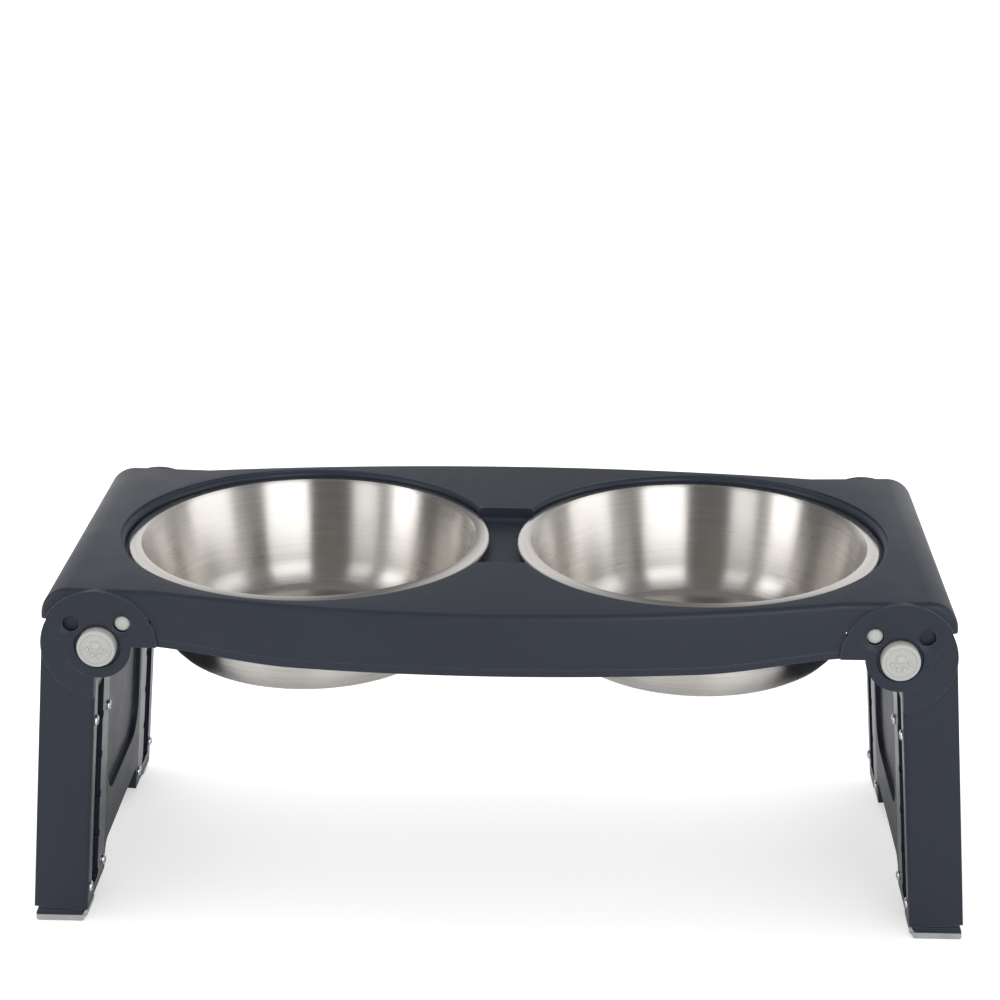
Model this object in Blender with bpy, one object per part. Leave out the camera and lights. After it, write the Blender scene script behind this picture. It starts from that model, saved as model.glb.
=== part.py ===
"""Raised double pet feeder: a tray with two lift-out bowls on two side legs.

Metres, +Z up. X runs along the tray, the front is at -Y and the floor is Z = 0.
Each leg folds about a hinge along Y. The pieces of a leg are modelled in the
frame of the right leg: the hinge axis at the origin, X outward from the feeder
and Z up along the leg. A piece at the end of a leg is modelled at +Y, its rear
end. The frame is then splayed about the hinge, and other places are mirrored.
"""

import math

import bmesh
import bpy
from mathutils import Matrix, Vector

# Gaps between pieces that rest on, slide in or turn in each other
REST_GAP = 0.0003
SLIDE_GAP = 0.0003
TURN_GAP = 0.00045

# How far joined solids sink into each other, and how far cutters reach out
OVERLAP = 0.0008
BEYOND = 0.0200

# Sides of the bowls and of what they rest in
ROUND_STEPS = 40

# Bowls
RIM_RADIUS = 0.1055
RIM_WIDTH = 0.0087
MOUTH_RADIUS = RIM_RADIUS - RIM_WIDTH
RIM_ROLL = 0.00135
RIM_CROWN = 0.0009
BOWL_DEPTH = 0.0673
BOWL_GAUGE = 0.0010
BOWL_TAPER = math.radians(10.3)
BOWL_CORNER_RADIUS = 0.0240

# Recesses of the tray that the rims of the bowls rest in
RECESS_CLEARANCE = 0.0017
RECESS_RADIUS = RIM_RADIUS + RECESS_CLEARANCE
LIP_RADIUS = 0.0028
COLLAR_WALL = 0.0024
LEDGE_THICKNESS = 0.0027
BOWL_HOLE_CLEARANCE = 0.0015
RECESS_BRIDGE = 0.0130
BOWL_SPACING = 2 * RECESS_RADIUS + RECESS_BRIDGE

# Tray
TRAY_TOP = 0.2068
TRAY_SAG = 0.0028
TRAY_WALL = 0.0025
TRAY_END_MARGIN = 0.0299
TRAY_FRONT_MARGIN = 0.0178
BOW_DEPTH = 0.0210
BOW_END_LENGTH = 0.0630
TRAY_HALF_WIDTH = BOWL_SPACING / 2 + RECESS_RADIUS + TRAY_END_MARGIN
TRAY_MID_HALF_DEPTH = RECESS_RADIUS + TRAY_FRONT_MARGIN
TRAY_END_HALF_DEPTH = TRAY_MID_HALF_DEPTH - BOW_DEPTH
BOW_START = TRAY_HALF_WIDTH - BOW_END_LENGTH
END_FILLET = 0.0160
EDGE_FILLET = 0.0032
SKIRT_DROP = 0.0383
SKIRT_BOTTOM = TRAY_TOP - SKIRT_DROP
SKIRT_RISE = 0.0050
SKIRT_RISE_START = 0.1100
END_SKIRT_DROP = 0.0176
RIM_DROP = 0.0054
RIM_TOP = TRAY_TOP - RIM_DROP
BOWL_BASE = RIM_TOP - BOWL_DEPTH
NOTCH_HALF_LENGTH = 0.0440
NOTCH_HALF_WIDTH = 0.0160
NOTCH_DEPTH = 0.0090
NOTCH_FLOOR = 0.0025
RIB_THICKNESS = 0.0022
RIB_DROP = 0.0100

# Hinges: the ears of the tray and the tubes behind them
PIVOT_INSET = 0.0308
PIVOT_DROP = 0.0330
PIVOT_X = TRAY_HALF_WIDTH - PIVOT_INSET
PIVOT_Z = TRAY_TOP - PIVOT_DROP
LEG_SPLAY = math.radians(4.9)
EAR_RADIUS = 0.0326
EAR_TIP_RADIUS = 0.0188
EAR_FLANK_TOP = math.radians(31)
EAR_FLANK_FOOT = math.radians(-8)
EAR_STAND = 0.0015
EAR_FACE = TRAY_END_HALF_DEPTH + EAR_STAND
EAR_THICKNESS = 0.0040
TUBE_BORE = 0.0112
TUBE_WALL = 0.0020
TUBE_LENGTH = 0.0202
TUBE_END = EAR_FACE - TUBE_LENGTH
BUTTON_DISH_RADIUS = 0.0131
BUTTON_DISH_DEPTH = 0.0016
TOE_RADIUS = 0.0192
TOE_ANGLE = math.radians(47.5)
GROOVE_SKIN = 0.0011

# Release buttons with their lock pins, and the springs behind them
BUTTON_RADIUS = 0.0108
BUTTON_STAND = 0.0070
BUTTON_FACE = EAR_FACE + BUTTON_STAND
BUTTON_TRAVEL = 0.0040
BUTTON_ARM = 0.0030
PIN_RADIUS = 0.0045
PIN_RECESS = GROOVE_SKIN + 0.0004
PIN_TIP = EAR_FACE - PIN_RECESS
PIN_BOSS_WALL = 0.0023
SPRING_RADIUS = 0.0054
SPRING_WIRE = 0.0007
SPRING_TURNS = 3.5
SPRING_LENGTH = 0.0178
SPRING_SEAT = TUBE_END - SPRING_LENGTH

# Leg frames, with depths taken from the faces of the ears
HUB_RADIUS = 0.0312
HUB_TOP_RADIUS = 0.0290
HUB_INNER_RADIUS = 0.0212
HUB_BOSS_RADIUS = 0.0182
HUB_FULL_END = math.radians(60)
HUB_TOP_END = math.radians(150)
HUB_INNER_END = math.radians(70)
HUB_GUIDE_DEPTH = 0.0043
HUB_GUIDE_START = TUBE_END - HUB_GUIDE_DEPTH
HUB_DISC_RADIUS = 0.0316
HUB_DISC_FACE = EAR_FACE - REST_GAP
LEG_STEP = 0.0017
LEG_FRONT = EAR_FACE - LEG_STEP
LEG_INNER = 0.0010
LEG_GROUND_GAP = 0.0071
LEG_LENGTH = PIVOT_Z - LEG_GROUND_GAP
LEG_CORNER = 0.0030
COLUMN_WIDTH = 0.0520
COLUMN_START = LEG_FRONT - COLUMN_WIDTH
COLUMN_CORNER = 0.0080
WEB_END = LEG_LENGTH - 0.0167
WEB_RECESS = 0.0032
WEB_RECESS_HALF_WIDTH = COLUMN_START - 0.0023
WEB_RECESS_END = LEG_LENGTH - 0.0447
WEB_RECESS_CORNER = 0.0190
WEB_SCOOP_RADIUS = 0.0265
WEB_SKIN = 0.0026
WEB_RIB = 0.0190
WEB_CELL_TOP = 0.0330

# Rack covers, on the inner faces of the legs, and their screws
COVER_START = COLUMN_START + 0.0037
COVER_FRONT = LEG_FRONT - 0.0038
COVER_TOP = 0.0235
COVER_END = LEG_LENGTH - 0.0027
COVER_THICKNESS = 0.0030
COVER_FLANGE = 0.0013
SLOT_START = COVER_START + 0.0185
SLOT_WIDTH = 0.0182
SLOT_FRONT = SLOT_START + SLOT_WIDTH
RACK_FIRST = 0.0305
RACK_PITCH = 0.0254
RACK_STEPS = 5
RACK_NOTCH_DEPTH = 0.0024
RACK_NOTCH_HEIGHT = 0.0050
RACK_NOTCH_SLOPE = 0.0008
FRONT_SCREW = COVER_FRONT - 0.0035
REAR_SCREW = COVER_START + 0.0031
SCREW_PLACES = (
    (FRONT_SCREW, COVER_TOP + 0.0255),
    (REAR_SCREW, COVER_TOP + 0.0335),
    (FRONT_SCREW, COVER_END - 0.0095),
    (REAR_SCREW, COVER_END - 0.0065),
)
SCREW_HEAD_RADIUS = 0.0031
SCREW_HEAD_HEIGHT = 0.0017
SCREW_RADIUS = 0.0014
SCREW_CLEARANCE = 0.0003

# Posts and rubber feet
CAVITY_INNER = LEG_INNER + 0.0037
CAVITY_OUTER = HUB_RADIUS - 0.0018
CAVITY_START = SLOT_START + 0.0075
CAVITY_FRONT = LEG_FRONT - 0.0022
CAVITY_TOP = 0.0185
POST_TOP = 0.0190
POST_WALL = 0.0024
POST_FLOOR = 0.0040
POST_CHAMFER_HEIGHT = 0.0135
POST_CHAMFER_WIDTH = 0.0030
DETENT_HEIGHT = 0.0036
DETENT_INSET = 0.0007
FOOT_THICKNESS = 0.0036
FOOT_FLARE = 0.0004
FOOT_WRAP_HEIGHT = LEG_GROUND_GAP - 0.0005
FOOT_WRAP_THICKNESS = 0.0018

SIDES = (("left", -1), ("right", 1))
ENDS = (("front", -1), ("rear", 1))

MATERIALS = {
    "slate_plastic": ((0.036, 0.044, 0.060, 1.0), 0.42, 0.0),
    "grey_plastic": ((0.52, 0.52, 0.50, 1.0), 0.45, 0.0),
    "foot_rubber": ((0.36, 0.37, 0.37, 1.0), 0.80, 0.0),
    "stainless_steel": ((0.62, 0.59, 0.55, 1.0), 0.28, 1.0),
    "zinc_steel": ((0.60, 0.62, 0.64, 1.0), 0.30, 1.0),
}


def make_materials():
    made = {}
    for name, (colour, roughness, metallic) in MATERIALS.items():
        material = bpy.data.materials.new(name)
        material.use_nodes = True
        shader = material.node_tree.nodes["Principled BSDF"]
        shader.inputs["Base Color"].default_value = colour
        shader.inputs["Roughness"].default_value = roughness
        shader.inputs["Metallic"].default_value = metallic
        made[name] = material
    return made


def warped(face):
    """True when a face's corners lie off its plane."""
    centre = face.calc_center_median()
    return any(abs((v.co - centre).dot(face.normal)) > 1e-6 for v in face.verts)


def mesh_object(verts, faces):
    """Object from points and faces, with flat faces that are turned outward."""
    mesh = bpy.data.meshes.new("piece")
    mesh.from_pydata(verts, [], faces)
    shape = bmesh.new()
    shape.from_mesh(mesh)
    bmesh.ops.recalc_face_normals(shape, faces=shape.faces)
    bent = [face for face in shape.faces if warped(face)]
    bmesh.ops.triangulate(shape, faces=bent)
    shape.to_mesh(mesh)
    shape.free()
    obj = bpy.data.objects.new("piece", mesh)
    bpy.context.collection.objects.link(obj)
    return obj


def prism(outline, start, end, plane):
    """Solid with a closed outline, drawn in a plane and run straight across it."""
    order = {"xy": (0, 1, 2), "xz": (0, 2, 1), "yz": (2, 0, 1)}[plane]
    count = len(outline)
    verts = []
    for across in (start, end):
        for a, b in outline:
            place = (a, b, across)
            verts.append(tuple(place[i] for i in order))
    faces = [list(range(count)), list(range(count, 2 * count))]
    for i in range(count):
        j = (i + 1) % count
        faces.append([i, j, count + j, count + i])
    return mesh_object(verts, faces)


def box(x, y, z):
    """Block from its low and high values on each axis."""
    corners = [(x[0], y[0]), (x[1], y[0]), (x[1], y[1]), (x[0], y[1])]
    return prism(corners, z[0], z[1], "xy")


def polar(radius, angle):
    return Vector((radius * math.cos(angle), radius * math.sin(angle)))


def arc(centre, radius, start, end, steps):
    """Points on an arc with both its ends, angles in radians."""
    points = []
    for i in range(steps + 1):
        spoke = polar(radius, start + (end - start) * i / steps)
        points.append((centre[0] + spoke.x, centre[1] + spoke.y))
    return points


def circle(centre, radius, steps):
    return arc(centre, radius, 0, math.tau, steps)[:-1]


def turned(outline, angle):
    """Outline turned counter-clockwise about the origin."""
    turn = Matrix.Rotation(angle, 2)
    return [tuple(turn @ Vector(point)) for point in outline]


def hull(first, second, steps=20):
    """Outline round two circles, each given as (centre, radius)."""
    axis = Vector(second[0]) - Vector(first[0])
    heading = math.atan2(axis.y, axis.x)
    lean = math.acos((first[1] - second[1]) / axis.length)
    outline = arc(*first, heading + lean, heading + math.tau - lean, steps)
    outline += arc(*second, heading - lean, heading + lean, steps // 2)
    return outline


def lathe(profile, steps):
    """Solid turned about Z from a profile with a flat end at each end."""
    verts = []
    rings = []
    for radius, height in profile:
        rings.append(range(len(verts), len(verts) + steps))
        verts += [(a, b, height) for a, b in circle((0, 0), radius, steps)]
    faces = [list(rings[0]), list(rings[-1])]
    for low, high in zip(rings, rings[1:]):
        for i in range(steps):
            j = (i + 1) % steps
            faces.append([low[i], low[j], high[j], high[i]])
    return mesh_object(verts, faces)


def combine(obj, tool, operation):
    """Apply one boolean operation and delete the tool."""
    modifier = obj.modifiers.new("combine", "BOOLEAN")
    modifier.operation = operation
    modifier.solver = "EXACT"
    modifier.object = tool
    graph = bpy.context.evaluated_depsgraph_get()
    mesh = bpy.data.meshes.new_from_object(obj.evaluated_get(graph))
    obj.modifiers.clear()
    obj.data = mesh
    bpy.data.objects.remove(tool, do_unlink=True)
    return obj


def join(obj, tool):
    return combine(obj, tool, "UNION")


def cut(obj, tool):
    return combine(obj, tool, "DIFFERENCE")


def transform(obj, matrix):
    """Move a mesh's points, keeping its faces outward under a mirror."""
    obj.data.transform(matrix)
    if matrix.determinant() < 0:
        obj.data.flip_normals()
    return obj


def along_y(obj):
    return transform(obj, Matrix.Rotation(math.radians(-90), 4, "X"))


def along_x(obj):
    return transform(obj, Matrix.Rotation(math.radians(90), 4, "Y"))


def moved(obj, x=0.0, y=0.0, z=0.0):
    return transform(obj, Matrix.Translation((x, y, z)))


def mirrored(obj, x=1, y=1):
    return transform(obj, Matrix.Diagonal((x, y, 1, 1)))


def finish(obj, name, material):
    """Name a piece, give it its material and shade its round faces smooth."""
    obj.name = name
    obj.data.name = name
    obj.data.materials.clear()
    obj.data.materials.append(material)
    obj.data.shade_smooth()
    obj.data.set_sharp_from_angle(angle=math.radians(30))
    return obj


def half_depth(x):
    """Half depth of the tray at x: straight ends and a bowed middle."""
    bow = TRAY_MID_HALF_DEPTH - TRAY_END_HALF_DEPTH
    if abs(x) >= BOW_START:
        return TRAY_END_HALF_DEPTH
    radius = (BOW_START**2 + bow**2) / (2 * bow)
    return TRAY_MID_HALF_DEPTH - radius + math.sqrt(radius**2 - x**2)


def tray_block(inset, bottom):
    """Solid with the outer form of the tray, drawn in by inset on every side."""
    top = TRAY_TOP - inset
    level_end = TRAY_HALF_WIDTH - END_FILLET
    side = TRAY_HALF_WIDTH - inset
    fillet = END_FILLET - inset
    edge = max(EDGE_FILLET - inset, 0.0006)
    half = [(side, bottom, 0.0)]
    for i in range(6):
        angle = math.radians(18 * i)
        spoke = polar(fillet, angle)
        half.append((side - fillet + spoke.x, top - fillet + spoke.y, angle))
    places = [(side - fillet + BOW_START) / 2]
    places += [BOW_START * i / 5 for i in range(5, -1, -1)]
    for x in places:
        sag = TRAY_SAG * (1 - (x / level_end) ** 2)
        half.append((x, top - sag, math.pi / 2))
    stations = [(-x, z, math.pi - angle) for x, z, angle in half]
    stations += half[-2::-1]

    verts = []
    rows = []
    turns = [(-1, 0), (-1, 45), (-1, 90), (1, 90), (1, 45), (1, 0)]
    for end, turn in turns:
        inward = edge * (1 - math.sin(math.radians(turn)))
        back = edge * (1 - math.cos(math.radians(turn)))
        row = []
        for x, z, angle in stations:
            place = Vector((x, z)) - polar(inward, angle)
            row.append(len(verts))
            depth = half_depth(x) - inset - back
            verts.append((place.x, end * depth, place.y if z > bottom else bottom))
        rows.append(row)
    last = len(stations) - 1
    faces = []
    for near, far in zip(rows, rows[1:]):
        faces += [[near[i], near[i + 1], far[i + 1], far[i]] for i in range(last)]
    feet = []
    for row in (rows[0], rows[-1]):
        foot = [row[0]]
        for i in range(2, last - 1):
            foot.append(len(verts))
            verts.append((verts[row[i]][0], verts[row[i]][1], bottom))
        foot.append(row[last])
        for i in range(last - 2):
            faces.append([row[i + 1], row[i + 2], foot[i + 1], foot[i]])
        feet.append(foot)
    left = [row[0] for row in rows[1:-1]]
    right = [row[last] for row in rows[1:-1]]
    faces.append(feet[0] + right + feet[1][::-1] + left[::-1])
    return mesh_object(verts, faces)


def skirt_trim():
    """Everything below the lower edges of the skirt."""
    step = PIVOT_X - EAR_RADIUS + 0.0025
    steps = 6
    rise = []
    for i in range(steps + 1):
        part = i / steps
        x = SKIRT_RISE_START + (BOW_START - SKIRT_RISE_START) * part
        rise.append((x, SKIRT_BOTTOM + SKIRT_RISE * part**2 * (3 - 2 * part)))
    far = TRAY_HALF_WIDTH + BEYOND
    low = SKIRT_BOTTOM - 1.5 * BEYOND
    front = TRAY_MID_HALF_DEPTH + BEYOND
    end_bottom = TRAY_TOP - END_SKIRT_DROP
    edge = rise + [(step, rise[-1][1]), (step, end_bottom), (far, end_bottom)]
    left = [(-x, z) for x, z in reversed(edge)]
    return prism(left + edge + [(far, low), (-far, low)], -front, front, "xz")


def ear_outline(grow=0.0):
    """Ear of the tray about the hinge of the right leg, grown on every side."""
    rim = EAR_RADIUS + grow
    tip = EAR_TIP_RADIUS + grow
    level = SKIRT_BOTTOM + SKIRT_RISE - PIVOT_Z - grow
    top = polar(EAR_RADIUS, EAR_FLANK_TOP)
    foot = polar(EAR_TIP_RADIUS, EAR_FLANK_FOOT)
    run = (top - foot).normalized()
    aside = Vector((run.y, -run.x)) * grow
    start = math.pi - math.asin(level / rim)
    end = -math.pi - math.asin(level / tip)
    outline = arc((0, 0), rim, start, EAR_FLANK_TOP, 13)[:-1]
    outline += [tuple(top + aside), tuple(foot + aside)]
    outline += arc((0, 0), tip, EAR_FLANK_FOOT, end, 10)[1:]
    return outline


def toe(angle):
    """Centre of a toe, its angle taken from above the hinge."""
    return tuple(polar(TOE_RADIUS, math.pi / 2 + angle))


def groove_outline():
    """Sweep of the lock pin about the hinge, from toe to toe."""
    half = PIN_RADIUS + 0.0005
    low = math.pi / 2 - TOE_ANGLE
    high = math.pi / 2 + TOE_ANGLE
    outline = arc((0, 0), TOE_RADIUS + half, low, high, 8)
    outline += arc(toe(TOE_ANGLE), half, high, high + math.pi, 5)[1:-1]
    outline += arc((0, 0), TOE_RADIUS - half, high, low, 8)
    outline += arc(toe(-TOE_ANGLE), half, low - math.pi, low, 5)[1:-1]
    return outline


def dish(centre, outer, inner, depth):
    """Cutter for a shallow cone in the face of an ear."""
    profile = [
        (inner, EAR_FACE - depth),
        (outer, EAR_FACE),
        (outer, EAR_FACE + BEYOND),
    ]
    return moved(along_y(lathe(profile, 18)), x=centre[0], z=centre[1])


def hinge_corner(tool, side, end):
    """Tool made about the hinge at +Y, moved to one corner of the tray."""
    return mirrored(moved(tool, x=PIVOT_X, z=PIVOT_Z), x=side, y=end)


def add_hinge(tray, side, end):
    back = EAR_FACE - EAR_THICKNESS
    into = back - 1.2 * OVERLAP
    out = EAR_FACE + BEYOND
    well = circle((0, 0), HUB_RADIUS + TURN_GAP, 32)
    tube = circle((0, 0), TUBE_BORE + TUBE_WALL, 18)
    bore = circle((0, 0), TUBE_BORE, 20)
    groove_floor = EAR_FACE - GROOVE_SKIN
    cut(tray, hinge_corner(prism(well, into, out, "xz"), side, end))
    join(tray, hinge_corner(prism(ear_outline(), back, EAR_FACE, "xz"), side, end))
    join(tray, hinge_corner(prism(tube, TUBE_END, back + OVERLAP, "xz"), side, end))
    groove = prism(groove_outline(), into, groove_floor, "xz")
    cut(tray, hinge_corner(groove, side, end))
    cut(tray, hinge_corner(prism(bore, TUBE_END - OVERLAP, out, "xz"), side, end))
    plate = dish((0, 0), BUTTON_DISH_RADIUS, TUBE_BORE + 0.0011, BUTTON_DISH_DEPTH)
    cut(tray, hinge_corner(plate, side, end))
    for angle in (TOE_ANGLE, -TOE_ANGLE):
        centre = toe(angle)
        hole = circle(centre, PIN_RADIUS + SLIDE_GAP, 12)
        cut(tray, hinge_corner(prism(hole, into, out, "xz"), side, end))


def ledge_height():
    """Top of the ledge under the rolled edges of the bowls."""
    return RIM_TOP - 2 * RIM_ROLL - REST_GAP


def recess_cutter():
    """Recess for the rim of a bowl, with a rounded lip at the deck."""
    deck = TRAY_TOP - TRAY_SAG
    profile = [(RECESS_RADIUS, ledge_height())]
    centre = (RECESS_RADIUS + LIP_RADIUS, deck - LIP_RADIUS)
    profile += arc(centre, LIP_RADIUS, math.pi, math.radians(100), 2)
    wide = RECESS_RADIUS + 1.5 * LIP_RADIUS
    profile.append((wide, TRAY_TOP + BEYOND))
    return lathe(profile, ROUND_STEPS)


def make_tray():
    stock = SKIRT_BOTTOM - BEYOND / 2
    deck = TRAY_TOP - TRAY_SAG
    under = ledge_height() - LEDGE_THICKNESS
    notch_bottom = deck - NOTCH_DEPTH
    hollow = tray_block(TRAY_WALL, stock - OVERLAP)
    bridge_end = NOTCH_HALF_LENGTH + 0.0060
    bridge_side = NOTCH_HALF_WIDTH + COLLAR_WALL
    bridge = box(
        (-bridge_side, bridge_side),
        (-bridge_end, bridge_end),
        (notch_bottom - NOTCH_FLOOR, TRAY_TOP),
    )
    cut(hollow, bridge)
    half = RIB_THICKNESS / 2
    for end in (1, -1):
        rib = box(
            (-half, half),
            (bridge_end - OVERLAP, TRAY_MID_HALF_DEPTH + OVERLAP),
            (deck - TRAY_WALL - RIB_DROP, TRAY_TOP),
        )
        cut(hollow, mirrored(rib, y=end))
    collar_radius = RECESS_RADIUS + LIP_RADIUS + COLLAR_WALL
    collar = circle((0, 0), collar_radius, ROUND_STEPS)
    for side in (1, -1):
        ring = prism(collar, under, TRAY_TOP, "xy")
        cut(hollow, moved(ring, x=side * BOWL_SPACING / 2))
    tray = cut(tray_block(0, stock), hollow)
    cut(tray, skirt_trim())
    for side in (1, -1):
        centre = (side * BOWL_SPACING / 2, 0)
        hole = circle(centre, MOUTH_RADIUS + BOWL_HOLE_CLEARANCE, ROUND_STEPS)
        cut(tray, moved(recess_cutter(), x=centre[0]))
        cut(tray, prism(hole, under - BEYOND, TRAY_TOP, "xy"))

    bend = (NOTCH_HALF_LENGTH**2 + NOTCH_DEPTH**2) / (2 * NOTCH_DEPTH)
    reach = 1.05 * math.asin(NOTCH_HALF_LENGTH / bend)
    middle = (0, notch_bottom + bend)
    down = -math.pi / 2
    saddle = arc(middle, bend, down - reach, down + reach, 8)
    cut(tray, prism(saddle, -NOTCH_HALF_WIDTH, NOTCH_HALF_WIDTH, "yz"))
    for side in (1, -1):
        for end in (1, -1):
            add_hinge(tray, side, end)
    return tray


def make_bowl():
    """Pressed bowl with a crowned flange and a rolled edge."""
    top = RIM_TOP - 0.0015
    corner = BOWL_BASE + BOWL_CORNER_RADIUS
    lean = math.sin(BOWL_TAPER)
    climb = top - corner + BOWL_CORNER_RADIUS * lean
    run = BOWL_CORNER_RADIUS * math.cos(BOWL_TAPER) + climb * math.tan(BOWL_TAPER)
    centre = (MOUTH_RADIUS - run, corner)
    down = -math.pi / 2
    roll = (RIM_RADIUS - RIM_ROLL, RIM_TOP - RIM_ROLL)
    crown = RIM_TOP + RIM_CROWN
    mouth = MOUTH_RADIUS - BOWL_GAUGE
    profile = arc(centre, BOWL_CORNER_RADIUS, down, -BOWL_TAPER, 3)
    profile += [
        (MOUTH_RADIUS, top),
        (mouth + 0.0031, crown - BOWL_GAUGE),
        (roll[0] - RIM_ROLL, RIM_TOP - BOWL_GAUGE),
    ]
    profile += arc(roll, RIM_ROLL, math.radians(-110), math.radians(80), 3)
    profile += [
        (mouth + 0.0020, crown),
        (mouth, top),
    ]
    profile += arc(centre, BOWL_CORNER_RADIUS - BOWL_GAUGE, -BOWL_TAPER, down, 4)
    return lathe(profile, ROUND_STEPS)


def leg_outline():
    """Side view of a leg with its hub."""
    boss_end = 1.5 * math.pi + math.asin(LEG_INNER / HUB_BOSS_RADIUS)
    outline = [(LEG_INNER, -LEG_LENGTH), (HUB_RADIUS, -LEG_LENGTH)]
    outline += arc((0, 0), HUB_RADIUS, 0, HUB_FULL_END, 6)
    outline += arc((0, 0), HUB_TOP_RADIUS, HUB_FULL_END, HUB_TOP_END, 7)
    outline += arc((0, 0), HUB_BOSS_RADIUS, math.radians(175), boss_end, 6)
    return outline


def pin_centre():
    """Lock pin in the frame of the splayed leg."""
    return turned([toe(TOE_ANGLE)], -LEG_SPLAY)[0]


def chamber_start():
    """Depth in the hub that the arm of a pressed button comes to."""
    return TUBE_END - REST_GAP - BUTTON_ARM - BUTTON_TRAVEL - SLIDE_GAP


def pocket_outline():
    """Plan of the pocket for a rack cover, with the slot behind it."""
    plate = LEG_INNER + COVER_THICKNESS + REST_GAP
    flange = LEG_INNER + COVER_FLANGE + REST_GAP
    behind = CAVITY_INNER + 0.0004
    return [
        (LEG_INNER - BEYOND, COVER_START - REST_GAP),
        (plate, COVER_START - REST_GAP),
        (plate, SLOT_START - REST_GAP),
        (behind, SLOT_START - REST_GAP),
        (behind, SLOT_FRONT + REST_GAP),
        (flange, SLOT_FRONT + REST_GAP),
        (flange, COVER_FRONT + REST_GAP),
        (LEG_INNER - BEYOND, COVER_FRONT + REST_GAP),
    ]


def shape_web(frame):
    """Scoop, recess, gap and cells between the two columns of a leg."""
    half = WEB_RECESS_HALF_WIDTH
    panel = LEG_INNER + WEB_RECESS
    inside = LEG_INNER - BEYOND
    bottom = -LEG_LENGTH - BEYOND
    scoop = circle((0, 0), WEB_SCOOP_RADIUS, 28)
    cut(frame, prism(scoop, -half - OVERLAP, half + OVERLAP, "xz"))
    side = half - WEB_RECESS_CORNER
    low = -WEB_RECESS_END + WEB_RECESS_CORNER
    recess_top = -WEB_SCOOP_RADIUS / 2
    recess = [(half, recess_top), (-half, recess_top)]
    recess += arc((-side, low), WEB_RECESS_CORNER, math.pi, 1.5 * math.pi, 5)
    recess += arc((side, low), WEB_RECESS_CORNER, 1.5 * math.pi, math.tau, 5)
    cut(frame, prism(recess, inside, panel, "yz"))
    side = COLUMN_START - COLUMN_CORNER
    low = -WEB_END - COLUMN_CORNER
    gap = [(-COLUMN_START, bottom), (COLUMN_START, bottom)]
    gap += arc((side, low), COLUMN_CORNER, 0, math.pi / 2, 4)
    gap += arc((-side, low), COLUMN_CORNER, math.pi / 2, math.pi, 4)
    cut(frame, prism(gap, inside, HUB_RADIUS + BEYOND, "yz"))
    depth = (panel + WEB_SKIN, HUB_RADIUS - WEB_SKIN)
    inner = WEB_RIB - RIB_THICKNESS / 2
    outer = WEB_RIB + RIB_THICKNESS / 2
    far = half - WEB_SKIN
    for cell in ((-inner, inner), (outer, far), (-far, -outer)):
        cut(frame, box(depth, cell, (-WEB_END - BEYOND, -WEB_CELL_TOP)))


def corner_cutter():
    """Rounds the inner edge of a leg's face, below the disc of the hub."""
    centre = (LEG_INNER + LEG_CORNER, LEG_FRONT - LEG_CORNER)
    outline = arc(centre, LEG_CORNER, math.pi, math.pi / 2, 3)
    outline.append((centre[0], LEG_FRONT + OVERLAP))
    outline.append((LEG_INNER - OVERLAP, LEG_FRONT + OVERLAP))
    outline.append((LEG_INNER - OVERLAP, centre[1]))
    return prism(outline, -LEG_LENGTH - BEYOND, -HUB_DISC_RADIUS - REST_GAP, "xy")


def shape_leg_end(frame, end):
    """Hub, hinge seat, chamber, post cavity and cover pocket at one end."""
    pin = pin_centre()
    bore = TUBE_BORE + TUBE_WALL + TURN_GAP
    pin_hole = PIN_RADIUS + SLIDE_GAP
    start = chamber_start()
    hub_face = EAR_FACE - EAR_THICKNESS - TURN_GAP
    wall = LEG_INNER + COVER_THICKNESS + REST_GAP + WEB_SKIN
    out = EAR_FACE + BEYOND
    bottom = -LEG_LENGTH - BEYOND

    boss = circle(pin, pin_hole + PIN_BOSS_WALL, 10)
    boss_start = start - PIN_BOSS_WALL
    boss = prism(boss, boss_start, HUB_GUIDE_START + OVERLAP, "xz")
    join(frame, mirrored(boss, y=end))
    disc = arc((0, 0), HUB_DISC_RADIUS, math.radians(-88), math.radians(40), 11)
    disc.append((LEG_INNER + REST_GAP, HUB_DISC_RADIUS / 3))
    join(frame, mirrored(prism(disc, LEG_FRONT - OVERLAP, HUB_DISC_FACE, "xz"), y=end))

    chamber = hull(((0, 0), bore + SLIDE_GAP), (pin, pin_hole + SLIDE_GAP), 14)
    coil = circle((0, 0), SPRING_RADIUS + SPRING_WIRE + 2 * SLIDE_GAP, 12)
    tools = [
        prism(turned(ear_outline(TURN_GAP), -LEG_SPLAY), hub_face, out, "xz"),
        prism(chamber, start, TUBE_END, "xz"),
        prism(coil, SPRING_SEAT, start + OVERLAP, "xz"),
        prism(circle((0, 0), bore, 20), TUBE_END - OVERLAP, out, "xz"),
        prism(circle(pin, pin_hole, 12), TUBE_END - OVERLAP, out, "xz"),
        box(
            (CAVITY_INNER, CAVITY_OUTER),
            (CAVITY_START, CAVITY_FRONT),
            (bottom, -CAVITY_TOP),
        ),
        box(
            (wall, HUB_RADIUS - WEB_SKIN),
            (COVER_START + 0.0020, CAVITY_START - POST_WALL),
            (bottom, -WEB_CELL_TOP + 0.0030),
        ),
        prism(pocket_outline(), -COVER_END - REST_GAP, -COVER_TOP + REST_GAP, "xy"),
        corner_cutter(),
    ]
    for across, down in SCREW_PLACES:
        hole = circle((across, -down), SCREW_RADIUS + SCREW_CLEARANCE, 6)
        depth = CAVITY_INNER + OVERLAP if across == FRONT_SCREW else wall - REST_GAP
        tools.append(prism(hole, LEG_INNER - OVERLAP, depth, "yz"))
    for tool in tools:
        cut(frame, mirrored(tool, y=end))


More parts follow.
